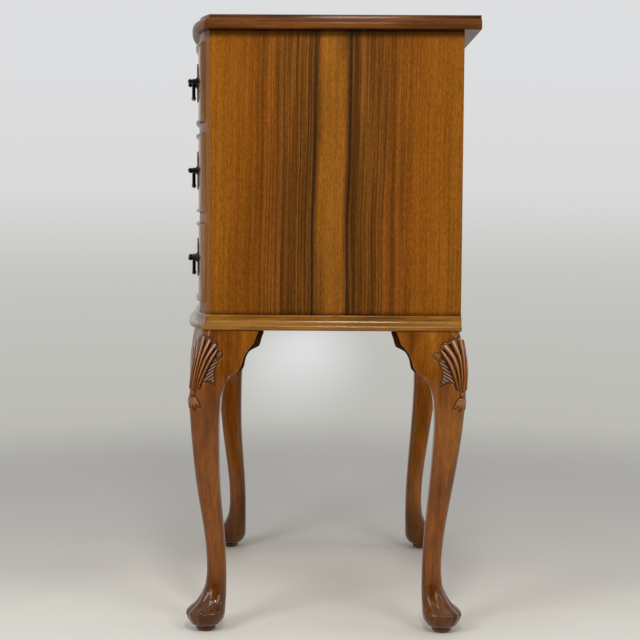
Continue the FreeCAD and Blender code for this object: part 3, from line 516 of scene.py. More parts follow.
@dataclass(frozen=True)
class SolidTimber:
    """Planed or carved solid wood: growth rings seen as bands, fine lines, and short open pores.

    The pattern is cut from a solid block, so it runs on round every face. Pores of walnut are about 0.2 mm
    wide and are drawn four times as wide to show. Where a piece keeps a depth, its hollows are darkened as
    painted shade and its crests are lightened towards a pale tone as painted highlights.
    """

    name: str
    dark: str
    middle: str
    pale: str
    grain: Axis
    polish: Polish
    band: float = 26.0
    stretch: float = 9.0
    figures: tuple[Figure, ...] = (
        Figure(2.6, 60.0, 0.32, 0.66, 0.80, 1.13, 3.0, 0.3),
        Figure(7.0, 150.0, 0.34, 0.66, 0.88, 1.08, 2.0, 0.4),
    )
    pore: Figure = Figure(0.8, 11.0, 0.30, 0.42, 0.72, 1.0, 1.0)
    carved: bool = False
    # Factors of painted shade in a hollow and of painted highlight on a crest, the highlight's pale tone, the
    # depths over which it grows, and its most.
    hollow: float = 0.16
    crest: float = 1.40
    painted_highlight: str = "#CDBBA8"
    painted_highlight_depths: tuple[float, float] = (-0.22, -0.55)
    painted_highlight_most: float = 0.6

    def material(self) -> Material:
        """Builds the finish.

        Returns:
            The material: ring bands set the colour, and lines, pores and wax change it.
        """
        material, tree = blank(self.name)
        place = add(tree, "TexCoord")["Object"]
        rates = [1.0 / (self.band * MM)] * 3
        rates[self.grain.value] = 1.0 / (self.stretch * self.band * MM)
        rings = add(tree, "Mapping", {"Vector": place, "Scale": rates})
        bands = add(
            tree,
            "TexNoise",
            {"Vector": rings[0], "Scale": 1.0, "Detail": 4.0, "Roughness": 0.55, "Distortion": 0.6},
        )
        colour = add(
            tree,
            "ValToRGB",
            {"Fac": bands["Fac"]},
            stops=[(0.32, self.dark), (0.50, self.middle), (0.68, self.pale)],
        )[0]
        for figure in self.figures:
            colour, uneven = figure.lay(tree, place, self.grain.value, colour)
        colour, pores = self.pore.lay(tree, place, self.grain.value, colour)
        # The depth darkens hollows with painted shade and lightens crests with painted highlights.
        if self.carved:
            depth = add(tree, "Attribute", attribute_name="depth")["Fac"]
            share = add(tree, "MapRange", {"Value": depth, "From Min": -1.0, "From Max": 1.0})
            painted_shading = add(
                tree,
                "ValToRGB",
                {"Fac": share[0]},
                stops=[(0.0, self.crest), (0.5, 1.0), (0.78, 0.5), (1.0, self.hollow)],
            )
            colour = add(
                tree, "Mix", {0: 1.0, 6: colour, 7: painted_shading[0]}, data_type="RGBA", blend_type="MULTIPLY"
            )[2]
            painted_sheen = add(
                tree,
                "MapRange",
                {
                    "Value": depth,
                    "From Min": self.painted_highlight_depths[0],
                    "From Max": self.painted_highlight_depths[1],
                    "To Max": self.painted_highlight_most,
                },
            )[0]
            colour = add(tree, "Mix", {0: painted_sheen, 6: colour, 7: linear(self.painted_highlight)}, data_type="RGBA")[2]
        self.polish.shade(tree, colour, uneven, pores)
        return material


@dataclass(frozen=True)
class MatchedVeneer:
    """Two leaves of striped walnut veneer, opened like a book about a seam and lacquered.

    The colour is read from the distance to the seam, so that both leaves mirror each other: a pale strip with
    a wavering edge, a dark line, brown bands with close stripes, and golden wood towards the edges. Sizes
    are in millimetres. The lean is how far the seam drifts for each millimetre along the grain. The seam
    wanders by a slow noise, and a quicker one, the swirl, pushes the tones about near it. Painted shade lies
    against a moulding: it is clear at the first height of each pair and darkest at the second.
    """

    name: str
    across: Axis
    along: Axis
    seam: float
    reach: float
    tones: tuple[tuple[float, str], ...]
    polish: Polish
    lean: float = 0.0
    middle: float = 0.0
    wander: float = 4.0
    wander_size: float = 200.0
    swirl: float = 24.0
    swirl_across: float = 1000 / 34
    swirl_along: float = 1000 / 9
    swirl_start: tuple[float, float, float] = (3.1, 5.3, 1.7)
    swirl_fade: tuple[float, float] = (8.0, 20.0)
    unlike: float = 0.03
    # Pairs of heights for the painted shade against the mouldings, and its darkest factor.
    painted_shade_bands: tuple[float, ...] = ()
    painted_shading: float = 0.22
    pale_reach: float = 18.6
    striped: tuple[float, float] = (24.0, 84.0)
    stripes: Figure = Figure(4.0, 520.0, 0.42, 0.58, 0.64, 1.14, 3.0, 0.1)
    lines: Figure = Figure(1.5, 320.0, 0.43, 0.57, 0.64, 1.17, 1.0)
    cloud: Figure = Figure(46.0, 210.0, 0.35, 0.65, 0.90, 1.08, 2.0)
    speckle: Figure = Figure(2.2, 4.0, 0.38, 0.62, 0.87, 1.10, 1.0)
    pore: Figure = Figure(0.9, 13.0, 0.30, 0.44, 0.70, 1.0, 1.0)

    def distance(
        self, tree: Tree, place: Socket
    ) -> tuple[Socket, Socket, Socket]:
        """Reads a place as a distance from the seam.

        The distance is |across - seam - lean (along - middle) + wander|, with a slow noise as the wander.

        Args:
            tree: The material's nodes.
            place: Where it is read.

        Returns:
            The distance, the place along the grain, and a place (distance, along, a little of across) whose
            figure mirrors at the seam and drifts apart beyond it.
        """
        parts = add(tree, "SeparateXYZ", {"Vector": place})
        across = parts[self.across.value]
        along = parts[self.along.value]
        rise = add(tree, "Math", {0: along, 1: self.middle * MM}, operation="SUBTRACT")[0]
        drift = add(tree, "Math", {0: rise, 1: self.lean, 2: self.seam * MM}, operation="MULTIPLY_ADD")
        offset = add(tree, "Math", {0: across, 1: drift[0]}, operation="SUBTRACT")
        rates = [1.0 / (self.wander_size * MM)] * 3
        slow = add(tree, "Mapping", {"Vector": place, "Scale": rates})
        sway = add(tree, "TexNoise", {"Vector": slow[0], "Scale": 1.0, "Detail": 1.0})
        stray = add(
            tree,
            "MapRange",
            {"Value": sway["Fac"], "To Min": -self.wander * MM, "To Max": self.wander * MM},
        )
        moved = add(tree, "Math", {0: offset[0], 1: stray[0]}, operation="ADD")
        leaf = add(tree, "Math", {0: moved[0]}, operation="ABSOLUTE")[0]
        little = add(tree, "Math", {0: across, 1: self.unlike}, operation="MULTIPLY")[0]
        spot = add(tree, "CombineXYZ", {"X": leaf, "Y": along, "Z": little})[0]
        return leaf, along, spot

    def material(self) -> Material:
        """Builds the finish.

        Returns:
            The material: a ramp over the distance to the seam, times stripes, lines, clouds and pores.
        """
        material, tree = blank(self.name)
        place = add(tree, "TexCoord")["Object"]
        leaf, along, spot = self.distance(tree, place)
        rates = [1.0 / (self.swirl_along * MM)] * 3
        rates[self.across.value] = 1.0 / (self.swirl_across * MM)
        slow = add(tree, "Mapping", {"Vector": place, "Scale": rates, "Location": self.swirl_start})
        curl = add(tree, "TexNoise", {"Vector": slow[0], "Scale": 1.0, "Detail": 1.0})
        push = add(
            tree,
            "MapRange",
            {"Value": curl["Fac"], "To Min": -self.swirl * MM, "To Max": self.swirl * MM},
        )
        start, end = self.swirl_fade
        fade = {"Value": leaf, "From Min": start * MM, "From Max": end * MM, "To Min": 1.0, "To Max": 0.0}
        near = add(tree, "MapRange", fade, interpolation_type="SMOOTHSTEP")
        pushed = add(tree, "Math", {0: push[0], 1: near[0], 2: leaf}, operation="MULTIPLY_ADD")
        limit = add(tree, "Math", {0: leaf, 1: self.pale_reach * MM}, operation="MAXIMUM")
        edge = add(tree, "Math", {0: pushed[0], 1: limit[0]}, operation="MINIMUM")
        share = add(tree, "Math", {0: edge[0], 1: self.reach * MM}, operation="DIVIDE")
        colour = add(
            tree,
            "ValToRGB",
            {"Fac": share[0]},
            stops=[(distance / self.reach, code) for distance, code in self.tones],
        )[0]
        first, last = (bound / self.reach for bound in self.striped)
        strength = add(
            tree,
            "ValToRGB",
            {"Fac": share[0]},
            stops=[(0.6 * first, 0.25), (first, 1.0), (0.75 * last, 0.9), (1.4 * last, 0.30)],
        )[0]
        colour, uneven = self.stripes.lay(tree, spot, 1, colour, strength)
        colour = self.lines.lay(tree, spot, 1, colour, strength)[0]
        colour = self.cloud.lay(tree, place, self.along.value, colour)[0]
        colour = self.speckle.lay(tree, place, self.along.value, colour)[0]
        colour, pores = self.pore.lay(tree, place, self.along.value, colour)
        # Painted shade under the top's lip and above the base moulding, darkest at the second height of each
        # pair.
        for clear, full in zip(self.painted_shade_bands[::2], self.painted_shade_bands[1::2]):
            darkening = add(
                tree,
                "MapRange",
                {
                    "Value": along,
                    "From Min": clear * MM,
                    "From Max": full * MM,
                    "To Min": 1.0,
                    "To Max": self.painted_shading,
                },
                interpolation_type="SMOOTHSTEP",
            )[0]
            colour = add(
                tree, "Mix", {0: 1.0, 6: colour, 7: darkening}, data_type="RGBA", blend_type="MULTIPLY"
            )[2]
        self.polish.shade(tree, colour, uneven, pores)
        return material


@dataclass(frozen=True)
class PatchyFinish:
    """Metal or plastic of two tones in patches, whose gloss follows the patches.

    The patches, and the grit in the bump, are noise of a size in millimetres, a detail and a roughness. The
    gloss is the surface's roughness where the noise is low and high. The bump is a strength and a depth.
    """

    name: str
    tones: tuple[tuple[float, str], ...]
    patch: tuple[float, float, float]
    grit: tuple[float, float, float]
    gloss: tuple[float, float]
    bump: tuple[float, float]
    metal: float
    index: float = 1.5

    def material(self) -> Material:
        """Builds the finish: patches set the tone and the gloss, and grit gives the bump."""
        material, tree = blank(self.name)
        place = add(tree, "TexCoord")["Object"]
        noises = []
        for size, detail, rough in (self.patch, self.grit):
            settings = {"Vector": place, "Scale": 1 / (size * MM), "Detail": detail, "Roughness": rough}
            noises.append(add(tree, "TexNoise", settings)["Fac"])
        patches, grit = noises
        colour = add(tree, "ValToRGB", {"Fac": patches}, stops=self.tones)[0]
        gloss = add(tree, "MapRange", {"Value": patches, "To Min": self.gloss[0], "To Max": self.gloss[1]})
        strength, depth = self.bump
        bump = add(tree, "Bump", {"Height": grit, "Strength": strength, "Distance": depth * MM})
        shader = add(
            tree,
            "BsdfPrincipled",
            {
                "Base Color": colour,
                "Metallic": self.metal,
                "Roughness": gloss[0],
                "Normal": bump[0],
                "IOR": self.index,
            },
        )
        add(tree, "OutputMaterial", {"Surface": shader[0]})
        return material


# Places read from the frame


@dataclass(frozen=True)
class Bow:
    """The plan of the front: a middle arc and two end arcs that run into it, at any offset forward."""

    half: float
    corner: float
    depth: float
    shoulder: float = 57.0 * MM
    crown: float = 10.4 * MM

    def y(self, x: Array, offset: Array) -> Array:
        """How far forward the bow lies.

        An offset curve keeps the arcs' centres and adds the offset to their radii.

        Args:
            x: Places along the width.
            offset: Distances forward of the carcase front.

        Returns:
            The y of each place.
        """
        joint = self.half - self.shoulder
        rise = self.depth - self.crown
        middle = (joint**2 + self.crown**2) / (2 * self.crown)
        drop = rise * (middle - self.crown) - joint * self.shoulder
        end = (self.shoulder**2 + rise**2) * middle / (2 * drop)
        middle_y = self.corner + middle - self.depth
        end_x = joint * (1 - end / middle)
        end_y = self.corner - rise + end * (middle - self.crown) / middle
        distance = np.abs(x)
        inner = middle_y - np.sqrt(np.maximum((middle + offset) ** 2 - distance**2, 0))
        outer = end_y - np.sqrt(np.maximum((end + offset) ** 2 - (distance - end_x) ** 2, 0))
        return np.where(distance <= joint * (1 + offset / middle), inner, outer)


def places() -> tuple[Bow, dict[str, float]]:
    """Reads the bow and the main levels from the frame's boxes.

    Returns:
        The bow, and the levels by name.
    """
    low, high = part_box("side_right")
    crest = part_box("rail_top")[0].y
    bow_depth = 27.5 * MM
    bow = Bow(half=high.x, corner=crest + bow_depth, depth=bow_depth)
    levels = {
        "base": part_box("base_board")[0].z,
        "carcase": low.z,
        "top": high.z,
        "end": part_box("top_board")[1].z,
        "back": high.y,
        "rear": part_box("top_board")[1].y,
    }
    return bow, levels


# Sub-assemblies


@dataclass
class MouldedTop:
    """The top: a veneered panel with a square fillet above a thumb-moulded edge."""

    bow: Bow
    under: float
    upper: float
    rear: float
    reach: float = 9.0 * MM
    lip: float = 13.5 * MM
    thumb: float = 8.0 * MM
    foot: float = 4.0 * MM
    ease: float = 0.8 * MM
    front_steps: int = 181
    side_steps: int = 41

    def profile(self) -> Array:
        """The edge from the underside up to the panel, as (offset, height) points."""
        ledge = self.under + self.lip
        inset = 30.0 * MM
        quirk = 0.7 * MM
        return np.concatenate(
            [
                [[-inset, self.under], [-1.0 * MM, self.under]],
                arc((self.reach - self.foot, self.under + self.foot), self.foot, -90, 0, 8),
                arc((self.reach - self.thumb, ledge - self.thumb), self.thumb, 0, 84, 16),
                [[quirk, ledge - 0.2 * MM], [quirk * 0.4, ledge - 0.7 * MM], [0.0, ledge - 0.1 * MM]],
                [[0.0, self.upper - self.ease]],
                arc((-self.ease, self.upper - self.ease), self.ease, 15, 90, 5),
                [[-6.0 * MM, self.upper], [-inset, self.upper]],
            ]
        )

    def loop(self, offset: Array, height: Array) -> Array:
        """Loops round the board, one for each profile point.

        The front follows the bow, the sides run straight back, and the rear edge is square.

        Args:
            offset: How far out each loop lies.
            height: How high each loop lies.

        Returns:
            Points by place round the loop and profile point.
        """
        share = np.linspace(-1, 1, self.front_steps)[:, None]
        side = np.linspace(0, 1, self.side_steps)[1:-1, None]
        reach = self.bow.half + offset[None, :]
        front_x = share * reach
        front_y = self.bow.y(front_x, offset[None, :])
        end_y = self.bow.y(reach, offset[None, :])
        side_y = end_y + (self.rear - end_y) * side
        side_x = np.repeat(reach, len(side), 0)
        x = np.concatenate([front_x, side_x, front_x[::-1], -side_x])
        y = np.concatenate([front_y, side_y, np.full_like(front_x, self.rear), side_y[::-1]])
        return spots_at(x, y, height[None, :])

    def panel(self, offset: float, height: float) -> Array:
        """The flat inside a loop, as a grid between the bow and the rear edge."""
        share = np.linspace(-1, 1, self.front_steps)[:, None]
        depth = np.linspace(0, 1, self.side_steps)[None, :]
        x = share * (self.bow.half + offset)
        front = self.bow.y(x, np.array(offset))
        y = front + (self.rear - front) * depth
        return spots_at(x, y, height)

    def build(self, materials: Sequence[Material]) -> None:
        """Makes the board as one closed piece.

        Args:
            materials: The finishes of the edge along the width and along the depth, and of the panel.
        """
        shell = Shell()
        profile = self.profile()
        edge = self.loop(profile[:-1, 0], profile[:-1, 1])
        border = self.loop(profile[-2:, 0], profile[-2:, 1])
        long, short = self.front_steps, self.side_steps - 2
        side = np.concatenate([np.zeros(long - 1), np.ones(short + 1)])
        shell.grid(edge, around=True, finish=np.concatenate([side, side]))
        shell.grid(border, around=True, finish=2)
        shell.grid(self.panel(profile[0, 0], profile[0, 1]))
        shell.grid(self.panel(profile[-1, 0], profile[-1, 1]), finish=2)
        piece("top_moulded", shell, materials, "carcase", ["top_board"], 30)


@dataclass
class BaseMoulding:
    """The base moulding: a step, a cove and a half-round bead, mitred round three sides."""

    bow: Bow
    low: float
    high: float
    back: float
    step: float = 5.5 * MM
    cove: float = 4.5 * MM
    cove_rise: float = 7.6 * MM
    bead: float = 8.0 * MM
    ease: float = 1.4 * MM
    steps: int = 161
    side_steps: int = 9

    def profile(self) -> Array:
        """The closed section, as (offset, height) points, anticlockwise from the lower inside corner."""
        radius = self.bead / 2
        shelf = self.low + self.bead
        out = self.step + self.cove
        hollow = arc((0.0, 0.0), 1.0, -90, -180, 15) * [self.cove, self.cove_rise]
        return np.concatenate(
            [
                [[0.0, self.low]],
                arc((out, self.low + radius), radius, -90, 90, 21),
                hollow + [out, shelf + self.cove_rise],
                arc((self.step - self.ease, self.high - self.ease), self.ease, 0, 90, 5),
                [[0.0, self.high]],
            ]
        )

    def build(self, front_finish: Material, side_finish: Material) -> None:
        """Makes the three lengths, each closed at its mitre.

        At the mitre the front length and a side meet at the corner's reach, which grows with the offset.

        Args:
            front_finish: The finish of the length along the width.
            side_finish: The finish of the lengths along the depth.
        """
        profile = self.profile()
        offset, height = profile[:, :1], profile[:, 1:]
        reach = self.bow.half + offset
        x = np.linspace(-1, 1, self.steps)[None, :] * reach
        front = Shell()
        front.tube(spots_at(x, self.bow.y(x, offset), height))
        piece("base_moulding_bow", front, [front_finish], "carcase", ["base_moulding_front"], 30)
        start = self.bow.y(reach, offset)
        y = start + (self.back - start) * np.linspace(0, 1, self.side_steps)[None, :]
        for side, sign in (("left", -1), ("right", 1)):
            length = Shell()
            length.tube(spots_at(sign * reach, y, height))
            node = "base_moulding_" + side
            piece("base_moulding_end_" + side, length, [side_finish], "carcase", [node], 30)


@dataclass
class CockBead:
    """The four thin beads let in round a drawer front, with a half-round nose and mitred corners."""

    bow: Bow
    drawer: str
    width: float = 3.0 * MM
    root: float = -5.6 * MM
    nose: float = 4.4 * MM
    steps: int = 121
    rise_steps: int = 25

    def section(self) -> Array:
        """The strip's section, square at the root and round at the nose.

        Returns:
            Points as (offset, share of the width).
        """
        radius = self.width / 2
        nose = arc((0.0, 0.0), 1.0, -90, 90, 15) * [radius, 0.5] + [self.nose - radius, 0.5]
        return np.concatenate([[[self.root, 0.0]], nose, [[self.root, 1.0]]])

    def build(self, materials: Sequence[Material]) -> None:
        """Makes the four strips as one piece.

        Args:
            materials: The finishes of the level and the upright strips.
        """
        node = "drawer_%s_cockbead" % self.drawer
        low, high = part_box(node)
        section = self.section()
        offset, inset = section[:, :1], section[:, 1:] * self.width
        shell = Shell()
        x = np.linspace(-1, 1, self.steps)[None, :] * (high.x - inset)
        y = self.bow.y(x, offset)
        for level in (low.z + inset, high.z - inset):
            shell.tube(spots_at(x, y, level))
        rise = np.linspace(0, 1, self.rise_steps)[None, :]
        z = (low.z + inset) + (high.z - low.z - 2 * inset) * rise
        for sign in (-1, 1):
            x = sign * (high.x - inset)
            shell.tube(spots_at(x, self.bow.y(x, offset), z), finish=1)
        piece("cock_beads_" + self.drawer, shell, materials, "drawer_" + self.drawer, [node])


# The right half of a pull's plate, from the top down: x and z in parts of its width and height, and the
# bend of the arc to the next point as its radius in parts of the height, positive where it turns
# anticlockwise.
WING = (
    (0.000, 0.500, 0.30),
    (0.170, 0.370, -0.26),
    (0.390, 0.270, 0.16),
    (0.500, 0.080, -0.10),
    (0.500, -0.080, 0.18),
    (0.370, -0.260, -0.24),
    (0.160, -0.350, 0.28),
    (0.000, -0.500, 0.0),
)


# A plate's bevel from its back edge to its dished face: how far in from the outline and out from the wood,
# in millimetres.
PLATE_BEVEL = np.array(
    [(0.0, 0.0), (0.0, -0.9), (0.25, -1.25), (0.6, -1.5), (1.0, -1.6), (2.4, -1.6), (3.2, -1.35)]
)


@dataclass
class SwanPull:
    """One pull: a bat-wing plate, two turned posts with ball ends, and a swan-neck bail that swings."""

    centre: Vector
    angle: float
    plate_width: float = 86.0 * MM
    plate_height: float = 50.0 * MM
    plate: float = 1.6 * MM
    spacing: float = 64.0 * MM
    post: float = 3.2 * MM
    shank: float = 2.0 * MM
    ball: float = 3.0 * MM
    pivot: float = 4.3 * MM
    eye: float = 2.0 * MM
    collar: float = 1.8 * MM
    drop: float = 20.0 * MM
    play: float = 0.6 * MM
    shoulder: float = 6.0 * MM
    tight: float = 4.0 * MM
    wide: float = 9.0 * MM
    rod: float = 2.2 * MM
    swell: float = 0.9 * MM
    grip: float = 11.0 * MM
    pin: float = 1.2 * MM
    tail: float = 26.5 * MM
    nut: float = 4.6 * MM
    nut_seat: float = 20.6 * MM

    def place(self, local: Array) -> Array:
        """Turns points of the pull's own frame, with -Y outward, onto the drawer's face."""
        turn = math.radians(self.angle)
        cos, sin = math.cos(turn), math.sin(turn)
        x = local[..., 0] * cos - local[..., 1] * sin + self.centre.x
        y = local[..., 0] * sin + local[..., 1] * cos + self.centre.y
        return spots_at(x, y, local[..., 2] + self.centre.z)

    def outline(self) -> Array:
        """The plate's outline: seven arcs down the right side, mirrored on the left.

        Returns:
            Points as (x, z) from the plate's middle.
        """
        size = np.array([self.plate_width, self.plate_height])
        runs = []
        for (x0, z0, bend), (x1, z1, _) in zip(WING[:-1], WING[1:]):
            first = np.array([x0, z0]) * size
            last = np.array([x1, z1]) * size
            chord = last - first
            length = float(np.linalg.norm(chord))
            radius = abs(bend) * self.plate_height
            sag = radius - math.sqrt(max(radius**2 - length**2 / 4, 0.0))
            right_hand = np.array([chord[1], -chord[0]]) / length * math.copysign(1.0, bend)
            runs.append(arc_through(first, (first + last) / 2 + right_hand * sag, last, 13)[:-1])
        right = np.concatenate(runs)
        left = right[1:][::-1] * [-1, 1]
        return np.concatenate([right, np.array([[0.0, -0.5]]) * size, left])

    def add_plate(self, shell: Shell) -> None:
        """Adds the plate: its outline drawn in about the middle in rings, bevelled to a dished face."""
        rim = self.outline()
        reach = np.linalg.norm(rim, axis=1)[:, None]
        inset, level = PLATE_BEVEL.T * MM
        rings = (rim / reach)[:, None, :] * (reach - inset[None, :])[:, :, None]
        inner = np.array([0.8, 0.55, 0.3, 0.08])
        spots = np.concatenate([rings, rings[:, -1:, :] * inner[None, :, None]], axis=1)
        heights = np.concatenate([level, np.full(len(inner), level[-1])])
        shell.tube(self.place(spots_at(spots[..., 0], heights, spots[..., 1])))

    def turned(self, profile: Array, x: float, count: int = 28) -> Array:
        """A turned form about the post's line: a (radius, y) profile carried round."""
        turn = np.linspace(0, 2 * math.pi, count, endpoint=False)[:, None]
        radius, y = profile[None, :, 0], profile[None, :, 1]
        return self.place(spots_at(x + radius * np.cos(turn), y, radius * np.sin(turn)))

    def add_posts(self, shell: Shell) -> None:
        """Adds both posts and their six-sided nuts."""
        face = -self.plate
        neck = face - self.pivot - self.eye
        ball_y = neck - 0.3 * MM - math.sqrt(self.ball**2 - self.shank**2)
        collar = self.post + self.collar
        profile = np.concatenate(
            [
                arc((0.0, ball_y), self.ball, -82, 46, 18),
                [[self.shank, neck], [self.post - 0.3 * MM, neck], [self.post, neck + 0.4 * MM]],
                [[self.post, face - 2.2 * MM], [self.post + 0.4 * MM, face - 1.5 * MM]],
                [[collar - 0.4 * MM, face - 1.3 * MM], [collar, face - 0.9 * MM], [collar, face]],
                [[self.shank, face], [self.shank, self.tail - 0.4 * MM], [0.8 * self.shank, self.tail]],
            ]
        )
        rim = self.nut - np.array([0.5, 0.0, 0.0, 0.5]) * MM
        depth = self.nut_seat + np.array([0.0, 0.35, 2.65, 3.0]) * MM
        for x in (-self.spacing / 2, self.spacing / 2):
            shell.tube(self.turned(profile, x))
            shell.tube(self.turned(np.stack([rim, depth], axis=1), x, 6))

    def bail_path(self) -> tuple[Array, Array]:
        """The bail's centre line and its radius along it.

        From pin to pin: straight through the post's eye, down a tight bend, along an arm, and round a
        larger bend to the grip, which swells towards its middle.

        Returns:
            Points as (x, z), and radii.
        """
        shoulder = self.spacing / 2 - self.post - self.play
        arm = shoulder - self.shoulder
        tight, wide = self.tight, self.wide
        half = np.concatenate(
            [
                [[self.spacing / 2 + self.post, 0.0], [shoulder + 0.15 * MM, 0.0], [shoulder, 0.0]],
                arc((arm + tight, -tight), tight, 90, 180, 10),
                arc((arm - wide, -self.drop + wide), wide, 0, -90, 14),
                np.stack([np.linspace(arm - wide, 0, 11)[1:], np.full(10, -self.drop)], axis=1),
            ]
        )
        bulge = self.swell * np.clip(1 - np.abs(half[:, 0]) / self.grip, 0, 1) ** 0.8
        radius = self.rod + np.where(half[:, 1] < -self.drop + 0.1 * MM, bulge, 0.0)
        radius[:2] = self.pin
        mirrored = half[:-1][::-1] * [-1, 1]
        return np.concatenate([half, mirrored]), np.concatenate([radius, radius[:-1][::-1]])

    def add_bail(self, shell: Shell) -> None:
        """Adds the bail: circles carried along its line, each square to it."""
        path, radius = self.bail_path()
        tangent = np.gradient(path, axis=0)
        tangent /= np.linalg.norm(tangent, axis=1, keepdims=True)
        turn = np.linspace(0, 2 * math.pi, 20, endpoint=False)[:, None]
        x = path[None, :, 0] - radius * np.cos(turn) * tangent[None, :, 1]
        z = path[None, :, 1] + radius * np.cos(turn) * tangent[None, :, 0]
        y = -(self.plate + self.pivot) + radius * np.sin(turn)
        shell.tube(self.place(spots_at(x, y, z)))


@dataclass
class DrawerPulls:
    """The two pulls of a drawer, as plates, posts and two bails."""

    bow: Bow
    drawer: str
    inset: float = 98.0 * MM
    proud: float = 1.4 * MM
    lift: float = 0.05 * MM

    def build(self, material: Material) -> None:
        """Makes the pulls where the frame has them, each square to the bow.

        Args:
            material: Their finish.
        """
        body = "drawer_" + self.drawer
        low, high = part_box(body + "_pull_posts")
        plates = Shell()
        posts = Shell()
        for side, sign in (("left", -1), ("right", 1)):
            x = sign * (self.bow.half - self.inset)
            step = 1.0 * MM
            ahead, beside = self.bow.y(np.array([x, x + step]), np.array(self.proud))
            centre = Vector((x, ahead - self.lift, (low.z + high.z) / 2))
            pull = SwanPull(centre, math.degrees(math.atan2(beside - ahead, step)))
            pull.add_plate(plates)
            pull.add_posts(posts)
            bail = Shell()
            pull.add_bail(bail)
            name = "bail_%s_%s" % (self.drawer, side)
            piece(name, bail, [material], name, ["%s_bail_%s" % (body, side)])
        for part, shell in (("plates", plates), ("posts", posts)):
            node = "%s_pull_%s" % (body, part)
            piece("pull_%s_%s" % (part, self.drawer), shell, [material], body, [node], 50)


# Rows down a leg: height in parts of its length, reach out of and in from its middle, and the rounding of
# the outer, side and inner corners, in millimetres.
LEG_ROWS = np.array(
    [
        (0.0170, 13.2, 13.2, 12.4, 12.4, 12.4),
        (0.024, 18.2, 17.6, 16.8, 16.8, 16.8),
        (0.035, 21.4, 21.4, 20.2, 20.2, 20.2),
        (0.050, 23.8, 24.0, 22.2, 22.2, 22.2),
        (0.062, 24.8, 24.7, 22.5, 22.5, 22.5),
        (0.068, 23.4, 24.8, 21.6, 21.6, 21.6),
        (0.084, 15.4, 25.0, 18.5, 18.5, 18.5),
        (0.102, 9.4, 25.2, 15.5, 15.5, 15.5),
        (0.128, 4.0, 25.4, 12.5, 12.5, 12.5),
        (0.155, 0.8, 25.5, 11.0, 11.0, 11.0),
        (0.201, -0.5, 25.4, 10.4, 10.4, 10.4),
        (0.258, 0.2, 24.6, 10.2, 10.2, 10.2),
        (0.335, 3.2, 22.6, 10.0, 10.0, 10.0),
        (0.425, 8.3, 19.8, 10.0, 10.0, 10.0),
        (0.515, 14.0, 16.6, 10.0, 9.5, 9.5),
        (0.608, 19.6, 13.8, 10.0, 9.0, 9.0),
        (0.696, 24.0, 12.3, 11.0, 8.0, 8.0),
        (0.768, 26.2, 13.4, 11.5, 6.0, 5.0),
        (0.814, 26.8, 17.6, 12.0, 3.0, 3.0),
        (0.850, 27.0, 24.6, 12.5, 0.5, 2.0),
        (0.907, 25.4, 25.0, 12.5, 0.3, 1.5),
        (0.959, 21.8, 25.0, 12.0, 0.3, 1.5),
        (1.000, 18.5, 25.0, 11.0, 0.3, 1.5),
    ]
)

# Where the rows of a leg's mesh lie, in parts of its length, and how many there are in each span.
LEG_SPANS = ((0.017, 0.17, 72), (0.17, 0.69, 80), (0.69, 1.0, 215))


# The turned pad under a foot, from below: radii and heights in millimetres.
PAD = np.array([(11.6, 2.0), (12.3, 2.4), (12.5, 3.2), (12.5, 5.8), (12.2, 6.4)])


# Between these heights, in parts of the leg, its middle moves back from the foot to the post at its top.
LEAN = (0.40, 0.77)


# Half the width of the post, and how the front of a front knee turns out to meet the bow: from a height,
# over a rise, up to a most, about a place across the leg, in millimetres.
POST = 25.0
SLANT_FROM = 302.0
SLANT_RISE = 80.0
SLANT_MOST = 1.1
SLANT_ABOUT = -15.0


# The shell's lines: heights in millimetres, and how far each line lies from the knee's edge at each height.
FAN_LEVELS = np.array([312.0, 326.0, 338.0, 347.0, 354.0, 360.0, 366.0, 374.0, 388.0])
FAN_LINES = np.array(
    [
        (2.6, 2.4, 2.3, 2.3, 2.4, 2.6, 2.9, 3.4, 4.4),
        (4.6, 4.9, 5.4, 6.0, 7.1, 8.9, 11.0, 14.4, 21.0),
        (6.2, 8.2, 10.4, 12.6, 15.2, 19.2, 24.2, 32.0, 46.0),
        (8.0, 12.4, 16.8, 20.4, 24.2, 27.0, 30.0, 37.0, 52.0),
    ]
)


# The leaf under the scroll: heights and distances of its outer edge, and distances and heights of its foot.
LEAF_EDGE = ((320, 323, 329, 337, 343, 349, 354), (31.0, 29.8, 28.0, 27.0, 28.0, 30.4, 31.5))
LEAF_FOOT = ((7, 10, 16, 21, 26, 31), (315.5, 320.5, 324.5, 325.5, 323.5, 321.0))


# The petals of the husk and the cuts round them, each as a root, a tip and a half width.
HUSK = (
    ((0.0, 306.0), (0.0, 288.0), 3.2),
    ((2.2, 305.0), (6.4, 289.5), 2.2),
    ((3.6, 305.0), (11.6, 292.0), 2.5),
)
SKIRT = (
    ((1.0, 308.0), (5.4, 285.5), 5.2),
    ((3.0, 307.0), (13.4, 290.0), 4.0),
)


def slanted(slant: float, level: Array) -> Array:
    """How far the front of a knee is turned at each height."""
    return slant * np.clip((level - SLANT_FROM) / SLANT_RISE, 0.0, SLANT_MOST)


